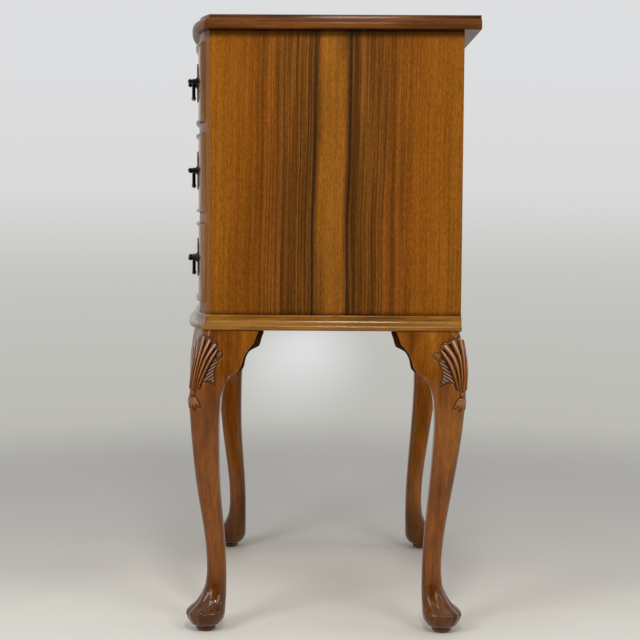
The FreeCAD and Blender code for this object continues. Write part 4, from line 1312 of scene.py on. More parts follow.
@dataclass
class KneeCarving:
    """The shell, scroll, leaf and husk cut on a knee, the same on both sides of its edge.

    Places are (distance round from the edge, height above the floor) in millimetres. Ribs lie between the
    shell's lines and end at the crest, the last of them in a scroll with a veined leaf under it. The collar
    above the husk is a reach and two heights, and so is its seat.
    """

    foot: float = 313.0
    crest: tuple[float, ...] = (379.0, 377.5, 373.5, 366.0, 360.0)
    growth: float = 50.0
    rib: float = 3.1
    groove: float = 1.4
    ditch_top: float = 358.0
    leaf_top: float = 354.0
    vein: float = 4.4
    vein_slope: float = 0.65
    scroll: tuple[float, float] = (31.3, 357.0)
    scroll_radius: float = 4.6
    scroll_ring: float = 2.9
    collar: tuple[float, float, float] = (4.6, 306.0, 312.6)
    seat: tuple[float, float, float] = (6.6, 304.0, 314.6)

    def fan(self, s: Array, z: Array) -> Array:
        """Which rib of the shell a place is on.

        Args:
            s: Distances round from the knee's edge.
            z: Heights.

        Returns:
            The fan's count: a whole number at each line, and a quarter more for each millimetre beyond.
        """
        lines = hermite(FAN_LEVELS, FAN_LINES.T, np.clip(z.ravel(), FAN_LEVELS[0], FAN_LEVELS[-1]))
        lines = lines.reshape(*z.shape, len(FAN_LINES))
        count = unit(s / lines[..., 0])
        for inner in range(len(FAN_LINES) - 1):
            width = lines[..., inner + 1] - lines[..., inner]
            count += unit((s - lines[..., inner]) / width)
        return count + np.clip(s - lines[..., -1], 0.0, None) / 4.0

    def band(self, s: Array, z: Array, reach: float, low: float, high: float) -> Array:
        """A band round the knee's edge, 1 up to a reach between two heights and 0 outside."""
        return smooth(0.0, 1.2, reach - s) * smooth(0.0, 1.4, z - low) * smooth(0.0, 1.4, high - z)

    def petal(self, s: Array, z: Array, root: Sequence[float], tip: Sequence[float], width: float) -> Array:
        """A leaf-shaped swelling from its root to its tip, with a sunk vein.

        Args:
            s: Distances round from the knee's edge.
            z: Heights.
            root: Where the leaf starts.
            tip: Where it ends.
            width: Its half width at the widest.

        Returns:
            A height from 0 to 1.
        """
        axis = np.array(tip) - np.array(root)
        length = float(np.linalg.norm(axis))
        axis = axis / length
        along = ((s - root[0]) * axis[0] + (z - root[1]) * axis[1]) / length
        side = -(s - root[0]) * axis[1] + (z - root[1]) * axis[0]
        half = width * np.sin(math.pi * unit(along) ** 0.75) ** 0.8 + 1e-6
        body = unit(1.0 - (side / half) ** 2) ** 0.5
        vein = 0.35 * bell(side / (0.22 * width))
        return np.where((along > 0) & (along < 1), body * (1.0 - vein), 0.0)

    def relief(self, s: Array, z: Array) -> tuple[Array, Array]:
        """How far the carving stands out of the knee, and its painted shade and highlights.

        Args:
            s: Distances round from the knee's edge, in millimetres.
            z: Heights, in millimetres.

        Returns:
            The height in millimetres, and a darkness from -1, a painted highlight on a crest, to 1, painted
            shade in a hollow.
        """
        count = self.fan(s, z)
        last = len(FAN_LINES)
        across = np.where(count < 1.0, np.abs(count), np.abs(2.0 * (count % 1.0) - 1.0))
        round_rib = unit(1.0 - across**2) ** 0.6
        top = np.interp(count, np.arange(last + 1), self.crest) + 2.0 * (1.0 - across**2)
        inside = (count < last) & (z > self.foot)
        low_edge = smooth(0.0, 2.0, z - self.foot)
        mask = np.where(inside, smooth(0.0, 1.4, top - z) * low_edge, 0.0)
        grown = unit((z - self.foot) / self.growth)
        tall = self.rib * (0.5 + 0.6 * grown)
        height = mask * (tall * round_rib - self.groove * (1.0 - round_rib))
        # rubbed is a painted highlight on each crest, and hollow is painted shade in the cuts.
        rubbed = mask * 0.6 * unit(1.0 - 1.8 * across) * (0.3 + 0.7 * grown)
        hollow = mask * unit(1.15 * across**2.2)
        rim = bell(z - top - 1.2) * inside
        height -= 0.8 * rim
        hollow = np.maximum(hollow, 0.9 * rim)

        # The leaf, beyond a ditch along the last rib
        outer = count - last
        edge = np.interp(z, *LEAF_EDGE)
        lower = np.interp(s, *LEAF_FOOT)
        ditch = bell((outer - 0.22) / 0.26) * low_edge * smooth(0.0, 2.0, self.ditch_top - z)
        ditch = ditch * (outer > -0.02)
        height -= 0.9 * ditch
        hollow = np.maximum(hollow, ditch)
        below_top = smooth(0.0, 2.0, self.leaf_top - z)
        leaf = smooth(0.0, 0.9, edge - s) * smooth(0.0, 1.0, z - lower) * smooth(0.25, 0.6, outer) * below_top
        veins = 0.5 + 0.5 * np.cos(2 * math.pi * (z - self.vein_slope * s) / self.vein)
        height += leaf * (0.2 + 1.3 * veins)
        # On the leaf the veins' crests get painted highlights and the cuts between them painted shade.
        hollow = np.where(leaf > 0.4, unit(0.9 - 1.7 * veins**2), hollow)
        rubbed = np.where(leaf > 0.4, np.clip(1.7 * veins**2 - 0.9, 0.0, 0.46), rubbed)
        border = bell((s - edge - 0.9) / 0.9) * smooth(0.0, 1.0, z - lower) * below_top * (outer > 0.3)
        under = bell((z - lower + 0.9) / 0.9) * (outer > 0.1) * (s < LEAF_EDGE[1][-1])
        height -= 0.7 * np.maximum(border, under)
        hollow = np.maximum(hollow, 0.9 * np.maximum(border, under))

        # The scroll: a button with a ring cut in it and a moat round it
        radius = np.hypot(s - self.scroll[0], z - self.scroll[1])
        on_scroll = radius < self.scroll_radius
        button = unit(1.0 - (radius / self.scroll_radius) ** 4) ** 0.5
        ring = bell((radius - self.scroll_ring) / 0.6)
        moat = bell((radius - self.scroll_radius - 0.7) / 0.8) * (radius > self.scroll_radius)
        height = np.where(on_scroll, 1.7 * button - 0.6 * ring, height) - 0.6 * moat
        hollow = np.where(on_scroll, 0.75 * ring, np.maximum(hollow, 0.9 * moat))
        rubbed = np.where(on_scroll, 0.0, rubbed)

        # The collar in its seat, and the husk hanging from it
        collar = self.band(s, z, *self.collar)
        seat = self.band(s, z, *self.seat) - collar
        height += 1.2 * collar - 0.4 * seat
        hollow = np.maximum(hollow, 0.8 * seat)
        husk = np.max([self.petal(s, z, *petal) for petal in HUSK], axis=0)
        skirt = np.max([self.petal(s, z, *petal) for petal in SKIRT], axis=0)
        notch = unit(skirt * 1.8) * (husk < 0.25) * (collar < 0.3)
        height += 1.4 * husk - 0.5 * notch
        hollow = np.maximum(hollow * (1.0 - husk), 0.7 * notch)
        # The husk's petals get painted highlights.
        rubbed = np.maximum(rubbed, 0.5 * husk**3)
        return height, np.clip(hollow - rubbed, -1.0, 1.0)


@dataclass
class CabrioleLeg:
    """One cabriole leg: a carved knee, a shaft that bends in and out, and a pad foot with soft ridges."""

    name: str
    across: int
    along: int
    centre: tuple[float, float]
    length: float
    setback: float
    slant: float
    carving: KneeCarving
    ridge: float = 0.55
    ridge_spacing: float = 12.0
    toe_reach: tuple[float, float] = (44.0, 30.0)
    toe_rise: tuple[float, float] = (8.0, 22.0)
    toe_fall: tuple[float, float] = (64.0, 34.0)
    # How much darker the leg grows towards the floor, between two heights, and the darkness of its pad.
    darkening: float = 0.55
    darkening_levels: tuple[float, float] = (92.0, 40.0)
    pad_darkening: float = 0.6
    carved_from: float = -8.0

    def levels(self) -> Array:
        """Heights of the rows in millimetres, closest where the knee is carved and the foot turns."""
        total = self.length / MM
        runs = [np.linspace(low * total, high * total, count)[:-1] for low, high, count in LEG_SPANS]
        return np.concatenate([*runs, [total]])

    def section(self, rows: Array) -> tuple[Array, Array]:
        """Rounded squares round the leg, from the middle of the outer corner and back to it.

        Args:
            rows: Outer and inner reach and three roundings, one row for each level.

        Returns:
            The places towards and along the corner, by place round the leg and level.
        """
        outer, inner, r_out, r_side, r_in = rows.T

        def corner(p: Array, q: Array, radius: Array, start: float, end: float, count: int) -> Array:
            """An arc about a corner's centre."""
            turn = np.radians(np.linspace(start, end, count, endpoint=False))[:, None]
            return np.stack([p + radius * np.cos(turn), q + radius * np.sin(turn)])

        def edge(p0: Array, q0: Array, p1: Array, q1: Array, count: int) -> Array:
            """A straight stretch between two corners."""
            share = np.linspace(0, 1, count, endpoint=False)[:, None]
            return np.stack([p0 + (p1 - p0) * share, q0 + (q1 - q0) * share])

        tip = outer - r_out
        flank = outer - r_side
        rear = r_side - inner
        heel = r_in - inner
        runs = [
            corner(tip, tip, r_out, 45, 0, 18),
            edge(outer, tip, outer, rear, 60),
            corner(flank, rear, r_side, 0, -90, 7),
            edge(flank, -inner, heel, -inner, 12),
            corner(heel, heel, r_in, -90, -180, 7),
            edge(-inner, heel, -inner, flank, 12),
            corner(rear, flank, r_side, 180, 90, 7),
            edge(rear, outer, tip, outer, 60),
            corner(tip, tip, r_out, 90, 45, 18),
        ]
        whole = np.concatenate(runs, axis=1)
        return whole[0], whole[1]

    def build(self, material: Material) -> None:
        """Makes the leg: sections smoothed along its height, then pushed out by the carving.

        Args:
            material: Its finish.
        """
        total = self.length / MM
        levels = self.levels()
        rows = hermite(LEG_ROWS[:, 0] * total, LEG_ROWS[:, 1:], levels)
        p, q = self.section(rows)
        z = np.broadcast_to(levels, p.shape)
        spots = spots_at(p, q, z)
        step = np.linalg.norm(np.roll(spots, -1, axis=0)[..., :2] - spots[..., :2], axis=2)
        run = np.cumsum(step, axis=0) - step
        around = np.minimum(run, step.sum(axis=0) - run)
        ahead = np.roll(spots, -1, axis=0) - np.roll(spots, 1, axis=0)
        normal = np.cross(np.gradient(spots, axis=1), ahead)
        normal /= np.linalg.norm(normal, axis=2, keepdims=True) + 1e-9
        outer_side = (p + q) > self.carved_from
        relief, hollow = (np.where(outer_side, part, 0.0) for part in self.carving.relief(around, z))
        # The leg grows darker towards the floor.
        hollow = hollow + self.darkening * smooth(*self.darkening_levels, z)
        lobes = np.cos(2 * math.pi * around / self.ridge_spacing) * smooth(*self.toe_reach, around)
        relief = relief + self.ridge * lobes * smooth(*self.toe_rise, z) * smooth(*self.toe_fall, z)
        ring = arc((0.0, 0.0), 1.0, 45, 45 - 360, len(p) + 1)[:-1]
        radius, height = PAD.T
        pad = spots_at(ring[:, :1] * radius, ring[:, 1:] * radius, height)
        spots = np.concatenate([pad, spots + normal * relief[..., None]], axis=1)
        # The pad under the foot is darkened too.
        depth = np.concatenate([np.full(pad.shape[:2], self.pad_darkening), hollow], axis=1)
        turn = slanted(self.slant, spots[..., 2])
        spots[..., 1] -= turn * (spots[..., 0] - SLANT_ABOUT) * (spots[..., 1] + POST) / (2 * POST)
        lean = unit((spots[..., 2] / total - LEAN[0]) / (LEAN[1] - LEAN[0]))
        spots[..., 1] -= self.setback * (1.0 - np.cos(math.pi * lean)) / 2
        shell = Shell()
        shell.tube(spots * MM * [self.across, self.along, 1.0] + [*self.centre, 0.0], depth)
        piece("leg_carved_" + self.name, shell, [material], "carcase", ["leg_" + self.name], 50)


# The lower edge of an ear as three arcs, in parts of the ear's reach and of the leg's length: the ends of
# the arcs with a point that each passes between them, and the points on each arc.
EAR_EDGE = (
    (0.00, 0.851),
    (0.20, 0.862),
    (0.40, 0.885),
    (0.61, 0.934),
    (0.82, 0.957),
    (0.88, 0.972),
    (0.97, 0.995),
)
EAR_STEPS = (20, 24, 12)


# How far an ear's face stands out at two heights, in parts of the leg's length and in millimetres.
EAR_SWELL = ((0.925, 5.9), (0.84, 8.5))


# The lower edge of the block behind an ear, in parts of the ear's reach and of the leg's length.
BLOCK_EDGE = (
    (0.30, 0.860),
    (0.46, 0.877),
    (0.53, 0.906),
    (0.67, 0.930),
    (0.80, 0.938),
    (0.99, 0.948),
    (1.03, 0.957),
    (1.08, 0.975),
    (1.14, 0.990),
)


@dataclass
class KneeBracket:
    """The ears beside a knee: shaped to it where they meet, with a stepped and rounded lower edge."""

    name: str
    across: int
    along: int
    centre: tuple[float, float]
    length: float
    slant: float
    post: float = POST
    reach: float = 37.0
    thick: float = 24.0
    face: float = 18.5
    ease: float = 2.2
    brow: float = 1.0
    flatten: float = 0.75
    turn_out: tuple[float, float] = (8.7, 0.22)
    block_thick: float = 11.0
    # How dark the block behind the ear is painted, as shade.
    block_shade: float = 0.95

    def ear(self, turned: bool) -> Array:
        """One ear as loops round its section, carried from the leg to its tip.

        The face is a parabola in height that flattens towards the tip. The lower edge is three arcs.

        Args:
            turned: Whether it lies along the width, beside the front face of the leg.

        Returns:
            Points by place round the section and along the ear.
        """
        top = self.length / MM
        knots = np.array(EAR_EDGE) * [self.reach, top] + [self.post, 0.0]
        arcs = [arc_through(*knots[2 * run:2 * run + 3], count) for run, count in enumerate(EAR_STEPS)]
        lower = np.concatenate([arcs[0][:1], *(points[1:] for points in arcs)])
        along, low = lower[:, 0][None, :], lower[:, 1][None, :]
        bulge = 1.0 - self.flatten * (along - self.post) / self.reach
        ease = np.minimum(self.ease, 0.3 * (top - low))

        def face_at(level: Array) -> Array:
            """How far out the face stands at a height."""
            (a, at_a), (b, at_b) = ((share * top, out) for share, out in EAR_SWELL)
            swell = at_a * (level - top) * (level - b) / ((a - top) * (a - b))
            swell = swell + at_b * (level - top) * (level - a) / ((b - top) * (b - a))
            return self.face + swell * bulge

        high = top - self.brow
        level = high + (low + ease - high) * np.linspace(0, 1, 40)[:, None]
        turn = np.radians(np.linspace(0, 90, 8))[1:, None]
        lip = face_at(low + ease) - ease * (1 - np.cos(turn))
        back = np.full_like(low, self.face - self.thick)
        summit = np.full_like(low, top)
        out = np.concatenate([face_at(level), lip, back, back, face_at(summit) - self.brow]) * MM
        level = np.concatenate([level, low + ease * (1 - np.sin(turn)), low, summit, summit])
        if turned:
            near, growth = self.turn_out
            out = out + slanted(self.slant, level) * (near + growth * (along - self.post)) * MM
            x = self.centre[0] - self.across * along * MM
            y = self.centre[1] + self.along * out
        else:
            x = self.centre[0] + self.across * out
            y = self.centre[1] - self.along * along * MM
        return spots_at(x, y, level * MM)

    def block(self) -> Array:
        """The glue block behind the ear along the depth: an even board, sawn to a step below.

        Returns:
            Points by place round the section and along the block.
        """
        top = self.length / MM
        edge = np.array(BLOCK_EDGE)
        steps = np.linalg.norm(np.diff(edge * [1.0, 10.0], axis=0), axis=1)
        run = np.concatenate([[0.0], np.cumsum(steps)])
        edge = hermite(run, edge, np.linspace(0.0, run[-1], 60))
        away = (self.post + edge[:, 0] * self.reach)[None, :]
        low = edge[:, 1][None, :] * top
        high = np.full_like(low, top - 0.5)
        rear = self.face - self.thick + 1.0
        front = rear + self.block_thick
        out = np.array([front, front, rear, rear])[:, None]
        x = self.centre[0] + self.across * out * MM
        y = self.centre[1] - self.along * away * MM
        return spots_at(x, y, np.concatenate([high, low, low, high]) * MM)

    def build(self, material: Material) -> None:
        """Makes the ears of one leg as one piece, with the front one on a front leg.

        Args:
            material: Their finish.
        """
        shell = Shell()
        shell.tube(self.ear(False))
        block = self.block()
        # The block is darkened nearly to black as painted shade behind the ear.
        shell.tube(block, np.full(block.shape[:2], self.block_shade))
        if self.along < 0:
            shell.tube(self.ear(True))
        node = "knee_brackets_" + self.name
        piece("ears_" + self.name, shell, [material], "carcase", [node], 40)


@dataclass
class Carcase:
    """The boards that keep their nodes, and the legs under them."""

    levels: dict[str, float]
    glide: float = 6.0 * MM
    front_setback: float = 6.5
    back_setback: float = 1.0
    front_slant: float = 0.40

    def dress(self, looks: dict[str, Material]) -> None:
        """Gives every plain node its finish.

        Args:
            looks: Finishes by node name, or by the start of one.
        """
        for name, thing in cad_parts.items():
            best = max((start for start in looks if name.startswith(start)), key=len)
            thing.data.materials.clear()
            thing.data.materials.append(looks[best])

    def build_legs(self, material: Material) -> None:
        """Makes the four legs about their feet, and the ears about the posts at their tops.

        Args:
            material: Their finish.
        """
        low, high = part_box("foot_glides")
        length = self.levels["base"]
        for name, across, along in (
            ("front_left", -1, -1),
            ("front_right", 1, -1),
            ("back_left", -1, 1),
            ("back_right", 1, 1),
        ):
            x = (high.x - self.glide) * across
            y = low.y + self.glide if along < 0 else high.y - self.glide
            setback, slant = self.back_setback, 0.0
            if along < 0:
                setback, slant = self.front_setback, self.front_slant
            CabrioleLeg(name, across, along, (x, y), length, setback, slant, KneeCarving()).build(material)
            KneeBracket(name, across, along, (x, y - along * setback * MM), length, slant).build(material)


@dataclass
class Fastenings:
    """Small fastenings: domed pins round the back panel and slotted screws under the leg blocks."""

    pin: float = 2.2
    pin_rise: float = 0.9
    screw: float = 3.6
    screw_rise: float = 0.7
    slot: float = 0.55
    rim: float = 0.15
    slot_floor: float = 0.12
    margin: float = 9.0
    pins_across: int = 7
    pins_up: int = 6
    block: float = 20.0

    def head(self, radius: float, rise: float, slot: float) -> tuple[Array, Array, Array]:
        """A low dome over polar places, rise (1 - (r/R)^2), with a straight slot cut across it.

        Args:
            radius: The head's radius in millimetres.
            rise: Its height.
            slot: Half the slot's width, or nothing.

        Returns:
            Two places in the head's plane and the height, by place round the head and distance out.
        """
        turn = np.linspace(0, 2 * math.pi, 24, endpoint=False)[:, None]
        share = np.array([1.0, 0.995, 0.9, 0.75, 0.55, 0.35, 0.15])[None, :]
        a = radius * share * np.cos(turn)
        b = radius * share * np.sin(turn)
        dome = np.where(share < 1.0, self.rim + rise * (1.0 - share**2), 0.0)
        return a, b, np.where(np.abs(b) < slot, np.minimum(dome, self.slot_floor), dome)

    def build(self, material: Material) -> None:
        """Makes the pins as one piece and the screws as another.

        Args:
            material: Their finish.
        """
        low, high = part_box("back_panel")
        across = np.linspace(low.x / MM + self.margin, high.x / MM - self.margin, self.pins_across)
        upward = np.linspace(low.z / MM + self.margin, high.z / MM - self.margin, self.pins_up)
        spots = [(x, z) for x in across for z in upward[[0, -1]]]
        spots += [(x, z) for x in across[[0, -1]] for z in upward[1:-1]]
        a, b, dome = self.head(self.pin, self.pin_rise, 0.0)
        pins = Shell()
        for x, z in spots:
            pins.tube(spots_at(x + a, high.y / MM + dome, z + b) * MM)
        piece("back_panel_pins", pins, [material], "carcase")
        low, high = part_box("leg_corner_blocks")
        a, b, dome = self.head(self.screw, self.screw_rise, self.slot)
        screws = Shell()
        half = self.block / 2
        for x in (low.x / MM + half, high.x / MM - half):
            for y in (low.y / MM + half, high.y / MM - half):
                screws.tube(spots_at(x + a, y + b, low.z / MM - dome) * MM)
        piece("leg_block_screws", screws, [material], "carcase")


class Studio:
    """A pale floor that fades into the background, soft lamps, and the camera."""

    lens_pixels = 1470.32
    picture = 640.0
    sensor = 36.0
    spot = Vector((2.07745, 0.00594, 0.55753))
    pitch = 4.857
    yaw = 0.455
    roll = -0.309
    floor_radius = 12.0
    # Centre and size of the painted pool of light on the far floor.
    painted_light_pool = (-3.2, -0.10)
    painted_light_pool_size = (2.2, 0.30)
    aim = Vector((0.0, 0.0, 0.45))
    lamps = (
        ("key_left", (1.45, -1.1, 1.35), (0.7, 0.9), 11.6),
        ("key_right", (1.55, 0.95, 1.4), (0.7, 0.8), 8.6),
        ("near", (1.2, 0.05, 1.25), (0.16, 0.16), 4.6),
        ("overhead", (0.0, 0.0, 2.6), (2.0, 2.0), 5.0),
        ("rear", (0.2, 2.2, 1.2), (0.5, 1.4), 4.0),
    )

    def stand(self, name: str, shell: Shell, material: Material) -> bpy.types.Object:
        """Puts a thing of the studio into the scene, apart from the chest."""
        thing = bpy.data.objects.new(name, shell.mesh(name, 60))
        thing.data.materials.append(material)
        bpy.context.scene.collection.objects.link(thing)
        return thing

    def seen(self, tree: Tree) -> Socket:
        """1 for rays of the camera and of glossy surfaces, and 0 for the light that fills the scene."""
        path = add(tree, "LightPath")
        rays = {0: path["Is Camera Ray"], 1: path["Is Glossy Ray"]}
        return add(tree, "Math", rays, operation="MAXIMUM")[0]

    def camera(self) -> None:
        """Sets the camera at the photograph's angle, from its pitch, yaw and roll in degrees."""
        data = bpy.data.cameras.new("camera")
        data.sensor_width = self.sensor
        data.lens = self.lens_pixels * self.sensor / self.picture
        data.clip_end = 100.0
        thing = bpy.data.objects.new("camera", data)
        bpy.context.scene.collection.objects.link(thing)
        pitch, yaw = math.radians(self.pitch), math.radians(self.yaw)
        level = math.cos(pitch)
        ahead = Vector((-level * math.cos(yaw), -level * math.sin(yaw), -math.sin(pitch)))
        right = ahead.cross(Vector((0, 0, 1))).normalized()
        up = right.cross(ahead)
        turn = Matrix.Rotation(math.radians(self.roll), 3, ahead)
        basis = Matrix((turn @ right, turn @ up, -ahead)).transposed()
        thing.matrix_world = Matrix.Translation(self.spot) @ basis.to_4x4()
        bpy.context.scene.camera = thing

    def floor(self) -> None:
        """Lays the floor: a pale disc, painted paler towards the camera, whose far part takes the
        background's tone, with a painted pool of light.
        """
        shell = Shell()
        turn = np.linspace(0, 2 * math.pi, 96, endpoint=False)[:, None]
        radius = np.array([0.02, 0.6, 1.2, 2.4, 4.8, self.floor_radius])[None, :]
        spots = spots_at(radius * np.cos(turn), radius * np.sin(turn), 0.0)
        shell.grid(spots, around=True)
        shell.cap(spots[:, 0])
        material, tree = blank("studio_floor")
        place = add(tree, "TexCoord")["Object"]
        reach = add(tree, "VectorMath", {0: place}, operation="LENGTH")["Value"]
        edges = {"Value": reach, "From Min": 0.9, "From Max": 1.7}
        far = add(tree, "MapRange", edges, interpolation_type="SMOOTHSTEP")[0]
        mottle = add(tree, "TexNoise", {"Vector": place, "Scale": 1.6, "Detail": 3.0})["Fac"]
        # The floor's colour grows paler towards the camera: painted light.
        across = add(tree, "SeparateXYZ", {"Vector": place})["X"]
        tone = add(tree, "Math", {0: across, 1: 1.0, 2: mottle}, operation="MULTIPLY_ADD")[0]
        colour = add(
            tree, "ValToRGB", {"Fac": tone}, stops=[(0.0, "#E2DFD8"), (0.45, "#E6E2D8"), (0.8, "#F8F5EB")]
        )[0]
        near = add(tree, "BsdfPrincipled", {"Base Color": colour, "Roughness": 0.6})
        distance = add(tree, "Math", {0: reach, 1: self.floor_radius}, operation="DIVIDE")[0]
        haze = add(
            tree,
            "ValToRGB",
            {"Fac": distance},
            stops=[(0.09, "#BAB9B2"), (0.24, "#BFBEB9"), (0.62, "#C6C5C1"), (1.0, "#CBCAC8")],
        )[0]
        # A painted pool of light on the far floor, behind the chest.
        (x, y), (wide, deep) = self.painted_light_pool, self.painted_light_pool_size
        moved = {"Vector": place, "Location": (-x / wide, -y / deep, 0.0), "Scale": (1 / wide, 1 / deep, 1.0)}
        painted_light_pool = add(tree, "Mapping", moved)
        apart = add(tree, "VectorMath", {0: painted_light_pool[0]}, operation="LENGTH")["Value"]
        fade = {"Value": apart, "To Min": 1.0, "To Max": 0.0}
        lit = add(tree, "MapRange", fade, interpolation_type="SMOOTHSTEP")[0]
        shown = add(tree, "Mix", {0: lit, 6: haze, 7: linear("#DEDEDE")}, data_type="RGBA")[2]
        glow = add(tree, "Emission", {"Color": shown, "Strength": 1.0})
        share = add(tree, "Math", {0: far, 1: self.seen(tree)}, operation="MULTIPLY")[0]
        mixed = add(tree, "MixShader", {0: share, 1: near[0], 2: glow[0]})
        add(tree, "OutputMaterial", {"Surface": mixed[0]})
        self.stand("studio_floor", shell, material)

    def world(self) -> None:
        """A background that grows paler upwards, and an even fill light from all round."""
        world = bpy.data.worlds.new("studio")
        bpy.context.scene.world = world
        world.use_nodes = True
        tree = world.node_tree
        tree.nodes.clear()
        way = add(tree, "TexCoord")["Generated"]
        height = add(tree, "SeparateXYZ", {"Vector": way})["Z"]
        share = add(tree, "MapRange", {"Value": height, "From Min": -0.1, "From Max": 0.1})[0]
        tone = add(
            tree,
            "ValToRGB",
            {"Fac": share},
            stops=[(0.20, "#C6C5C1"), (0.34, "#CDCDCB"), (0.50, "#D9D9D9"), (1.0, "#DDDEE0")],
        )[0]
        shown = add(tree, "Background", {"Color": tone, "Strength": 1.0})
        fill = add(tree, "Background", {"Color": linear("#EDEEF0"), "Strength": 0.36})
        mixed = add(tree, "MixShader", {0: self.seen(tree), 1: fill[0], 2: shown[0]})
        add(tree, "OutputWorld", {"Surface": mixed[0]})

    def flag(self) -> None:
        """Stands a dark card behind the camera, which keeps the sheen of the near side low."""
        across, up = np.meshgrid(np.linspace(-1.6, 1.6, 5), np.linspace(0.02, 2.2, 5), indexing="ij")
        shell = Shell()
        shell.grid(spots_at(2.75, across, up))
        material, tree = blank("studio_flag")
        cloth = add(tree, "BsdfPrincipled", {"Base Color": linear("#2A2A2B"), "Roughness": 0.9})
        add(tree, "OutputMaterial", {"Surface": cloth[0]})
        self.stand("studio_flag", shell, material).visible_camera = False

    def lamp(self, name: str, spot: Sequence[float], size: Sequence[float], power: float) -> None:
        """Hangs one soft lamp that faces the chest.

        Args:
            name: Its name.
            spot: Where it hangs, in metres.
            size: Its width and height.
            power: Its strength in watts.
        """
        data = bpy.data.lights.new(name, "AREA")
        data.shape = "RECTANGLE"
        data.size, data.size_y = size
        data.energy = power
        thing = bpy.data.objects.new(name, data)
        thing.location = spot
        thing.rotation_euler = (self.aim - Vector(spot)).to_track_quat("-Z", "Y").to_euler()
        bpy.context.scene.collection.objects.link(thing)

    def build(self) -> None:
        """Makes the whole studio."""
        self.camera()
        self.floor()
        self.world()
        self.flag()
        for lamp in self.lamps:
            self.lamp(*lamp)


# Side veneer, from the seam out to the edge of a leaf, in millimetres.
SIDE_TONES = (
    (0.0, "#935C1C"),
    (11.0, "#8E571A"),
    (15.5, "#7E4C18"),
    (19.8, "#64401B"),
    (21.3, "#2C1A0C"),
    (22.0, "#2C1A0C"),
    (23.2, "#5E3A18"),
    (34.0, "#754719"),
    (50.0, "#714317"),
    (62.0, "#784719"),
    (74.0, "#834B18"),
    (92.0, "#824A14"),
    (116.0, "#874E13"),
    (142.0, "#8F5516"),
    (165.0, "#92591A"),
)


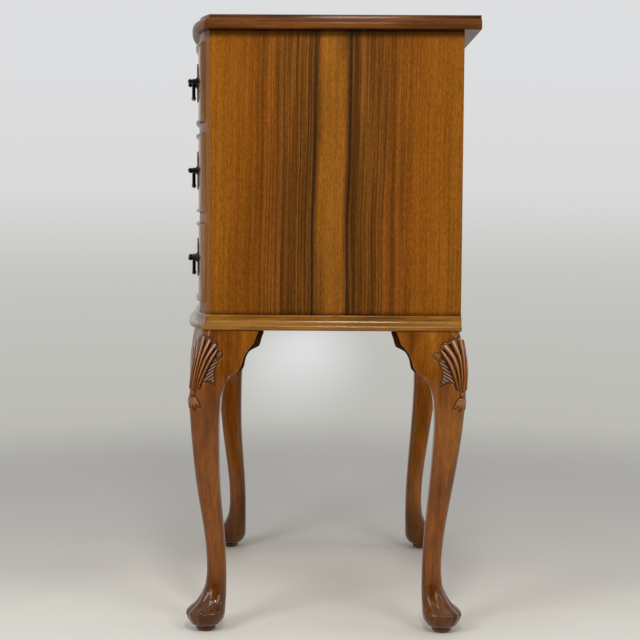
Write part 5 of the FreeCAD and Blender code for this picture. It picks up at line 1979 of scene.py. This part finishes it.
def finishes() -> dict[str, Material]:
    """Makes every finish and names the nodes that take it.

    Returns:
        Finishes by node name, or by the start of one.
    """
    # Lacquer rubbed down on flat panels keeps a low sheen; mouldings and legs are glossier.
    satin = Polish(0.36, 0.22, 0.05, 0.16, "#C08850")
    bright = Polish(0.24, 0.36, 0.18, 0.10, "#D8B080")
    glossy = Polish(0.25, 0.46, 0.36, 0.10, "#E0BC88")
    rubbed = Polish(0.34, 0.16, 0.10, 0.12, "#C08850")
    carved = Polish(0.28, 0.30, 0.50, 0.06, "#C08850")
    bare = Polish(0.60, 0.30, 0.0, 0.3)
    # Striped walnut veneer, book matched on the sides, the drawer fronts and the top.
    side = MatchedVeneer(
        "walnut_veneer_side",
        Axis.Y,
        Axis.Z,
        5.2,
        172.0,
        SIDE_TONES,
        satin,
        lean=0.014,
        middle=585.0,
        # Painted shade under the top's lip and above the base moulding.
        painted_shade_bands=(749.0, 757.0, 414.0, 404.0),
    ).material()
    front = MatchedVeneer(
        "walnut_veneer_front", Axis.X, Axis.Z, 0.0, 240.0, SIDE_TONES, bright, wander=9.0
    ).material()
    top = MatchedVeneer(
        "walnut_veneer_top", Axis.Y, Axis.X, 0.0, 200.0, SIDE_TONES, bright, wander=8.0
    ).material()
    # Solid walnut run through a moulding plane, golden and streaked along its length.
    golden = ("#6A4012", "#8E5B1C", "#AE792C")
    moulding_x = SolidTimber("walnut_moulding_front", *golden, Axis.X, glossy).material()
    moulding_y = SolidTimber("walnut_moulding_side", *golden, Axis.Y, glossy).material()
    # The same wood at the edge of the top, stained darker and rubbed dull.
    umber = ("#3E200C", "#613614", "#7C4A20")
    edge_x = SolidTimber("walnut_top_edge_front", *umber, Axis.X, rubbed).material()
    edge_y = SolidTimber("walnut_top_edge_side", *umber, Axis.Y, rubbed).material()
    # Thin strips let in round the drawer fronts: the level ones darker than the veneer, the uprights rubbed
    # paler and given a greyer painted sheen. The rails between the drawers are solid walnut too.
    brown = ("#5B3212", "#7A481C", "#8E5A26")
    bead_x = SolidTimber("walnut_cock_bead_level", *brown, Axis.X, bright).material()
    painted_sheen = ("#70503A", "#8B6A4E", "#9E7F64")
    bead_z = SolidTimber("walnut_cock_bead_upright", *painted_sheen, Axis.Z, bright).material()
    rail = SolidTimber("walnut_rails", "#6A3C16", "#845020", "#98632B", Axis.X, rubbed).material()
    # Carved solid walnut, stained redder, with painted shade in the cuts and painted highlights on the
    # crests.
    legs = SolidTimber(
        "carved_walnut_legs", "#64320A", "#824811", "#985C19", Axis.Z, carved, band=34.0, carved=True
    ).material()
    # Planed oak left bare inside, and birch plywood at the back.
    oak = ("#9C7342", "#B58A55", "#C49C68")
    lining_y = SolidTimber("oak_lining_long", *oak, Axis.Y, bare).material()
    lining_x = SolidTimber("oak_lining_cross", *oak, Axis.X, bare).material()
    backing = SolidTimber("birch_ply_back", "#8A6238", "#A07646", "#B18956", Axis.Z, bare).material()
    # Sand-cast brass, patinated nearly black and handled, so that brown shows through in small patches.
    bronze = PatchyFinish(
        "dark_patinated_bronze",
        ((0.42, "#1B1612"), (0.72, "#453322")),
        patch=(7.0, 4.0, 0.6),
        grit=(0.6, 2.0, 0.5),
        gloss=(0.46, 0.26),
        bump=(0.25, 0.08),
        metal=1.0,
    ).material()
    # Black moulded nylon, lighter and rougher where the floor has scuffed it.
    glide = PatchyFinish(
        "black_nylon",
        ((0.45, "#0B0B0C"), (0.80, "#2A2A2B")),
        patch=(3.0, 5.0, 0.7),
        grit=(3.0, 5.0, 0.7),
        gloss=(0.40, 0.65),
        bump=(0.2, 0.1),
        metal=0.0,
        index=1.53,
    ).material()
    looks = {
        "": lining_x,
        "side_": side,
        "top_board": top,
        "base_moulding_front": moulding_x,
        "base_moulding_left": moulding_y,
        "base_moulding_right": moulding_y,
        "rail_": rail,
        "rail_back_top": lining_x,
        "divider_": rail,
        "back_panel": backing,
        "drawer_runners": lining_y,
        "drawer_kickers": lining_y,
        "leg_": legs,
        "leg_corner_blocks": lining_y,
        "knee_brackets": legs,
        "foot_glides": glide,
        "top_edge_front": edge_x,
        "top_edge_side": edge_y,
        "bead_level": bead_x,
        "bead_upright": bead_z,
        "pull": bronze,
    }
    for drawer in DRAWERS:
        looks["drawer_%s_front" % drawer] = front
        looks["drawer_%s_cockbead" % drawer] = bead_x
        looks["drawer_%s_side" % drawer] = lining_y
        looks["drawer_%s_pull" % drawer] = bronze
        looks["drawer_%s_bail" % drawer] = bronze
    return looks


def main() -> None:
    """Builds the chest and its studio in order."""
    logging.basicConfig(level=logging.INFO, format="%(name)s %(message)s")
    bpy.context.scene.view_settings.view_transform = "Standard"
    bow, levels = places()
    looks = finishes()
    carcase = Carcase(levels)
    carcase.dress(looks)
    carcase.build_legs(looks["leg_"])
    top_looks = [looks["top_edge_front"], looks["top_edge_side"], looks["top_board"]]
    MouldedTop(bow, levels["top"], levels["end"], levels["rear"]).build(top_looks)
    base_looks = (looks["base_moulding_front"], looks["base_moulding_right"])
    BaseMoulding(bow, levels["base"], levels["carcase"], levels["back"]).build(*base_looks)
    for drawer in DRAWERS:
        CockBead(bow, drawer).build([looks["bead_level"], looks["bead_upright"]])
        DrawerPulls(bow, drawer).build(looks["pull"])
    Fastenings().build(looks["pull"])
    Studio().build()


if __name__ == "__main__":
    main()
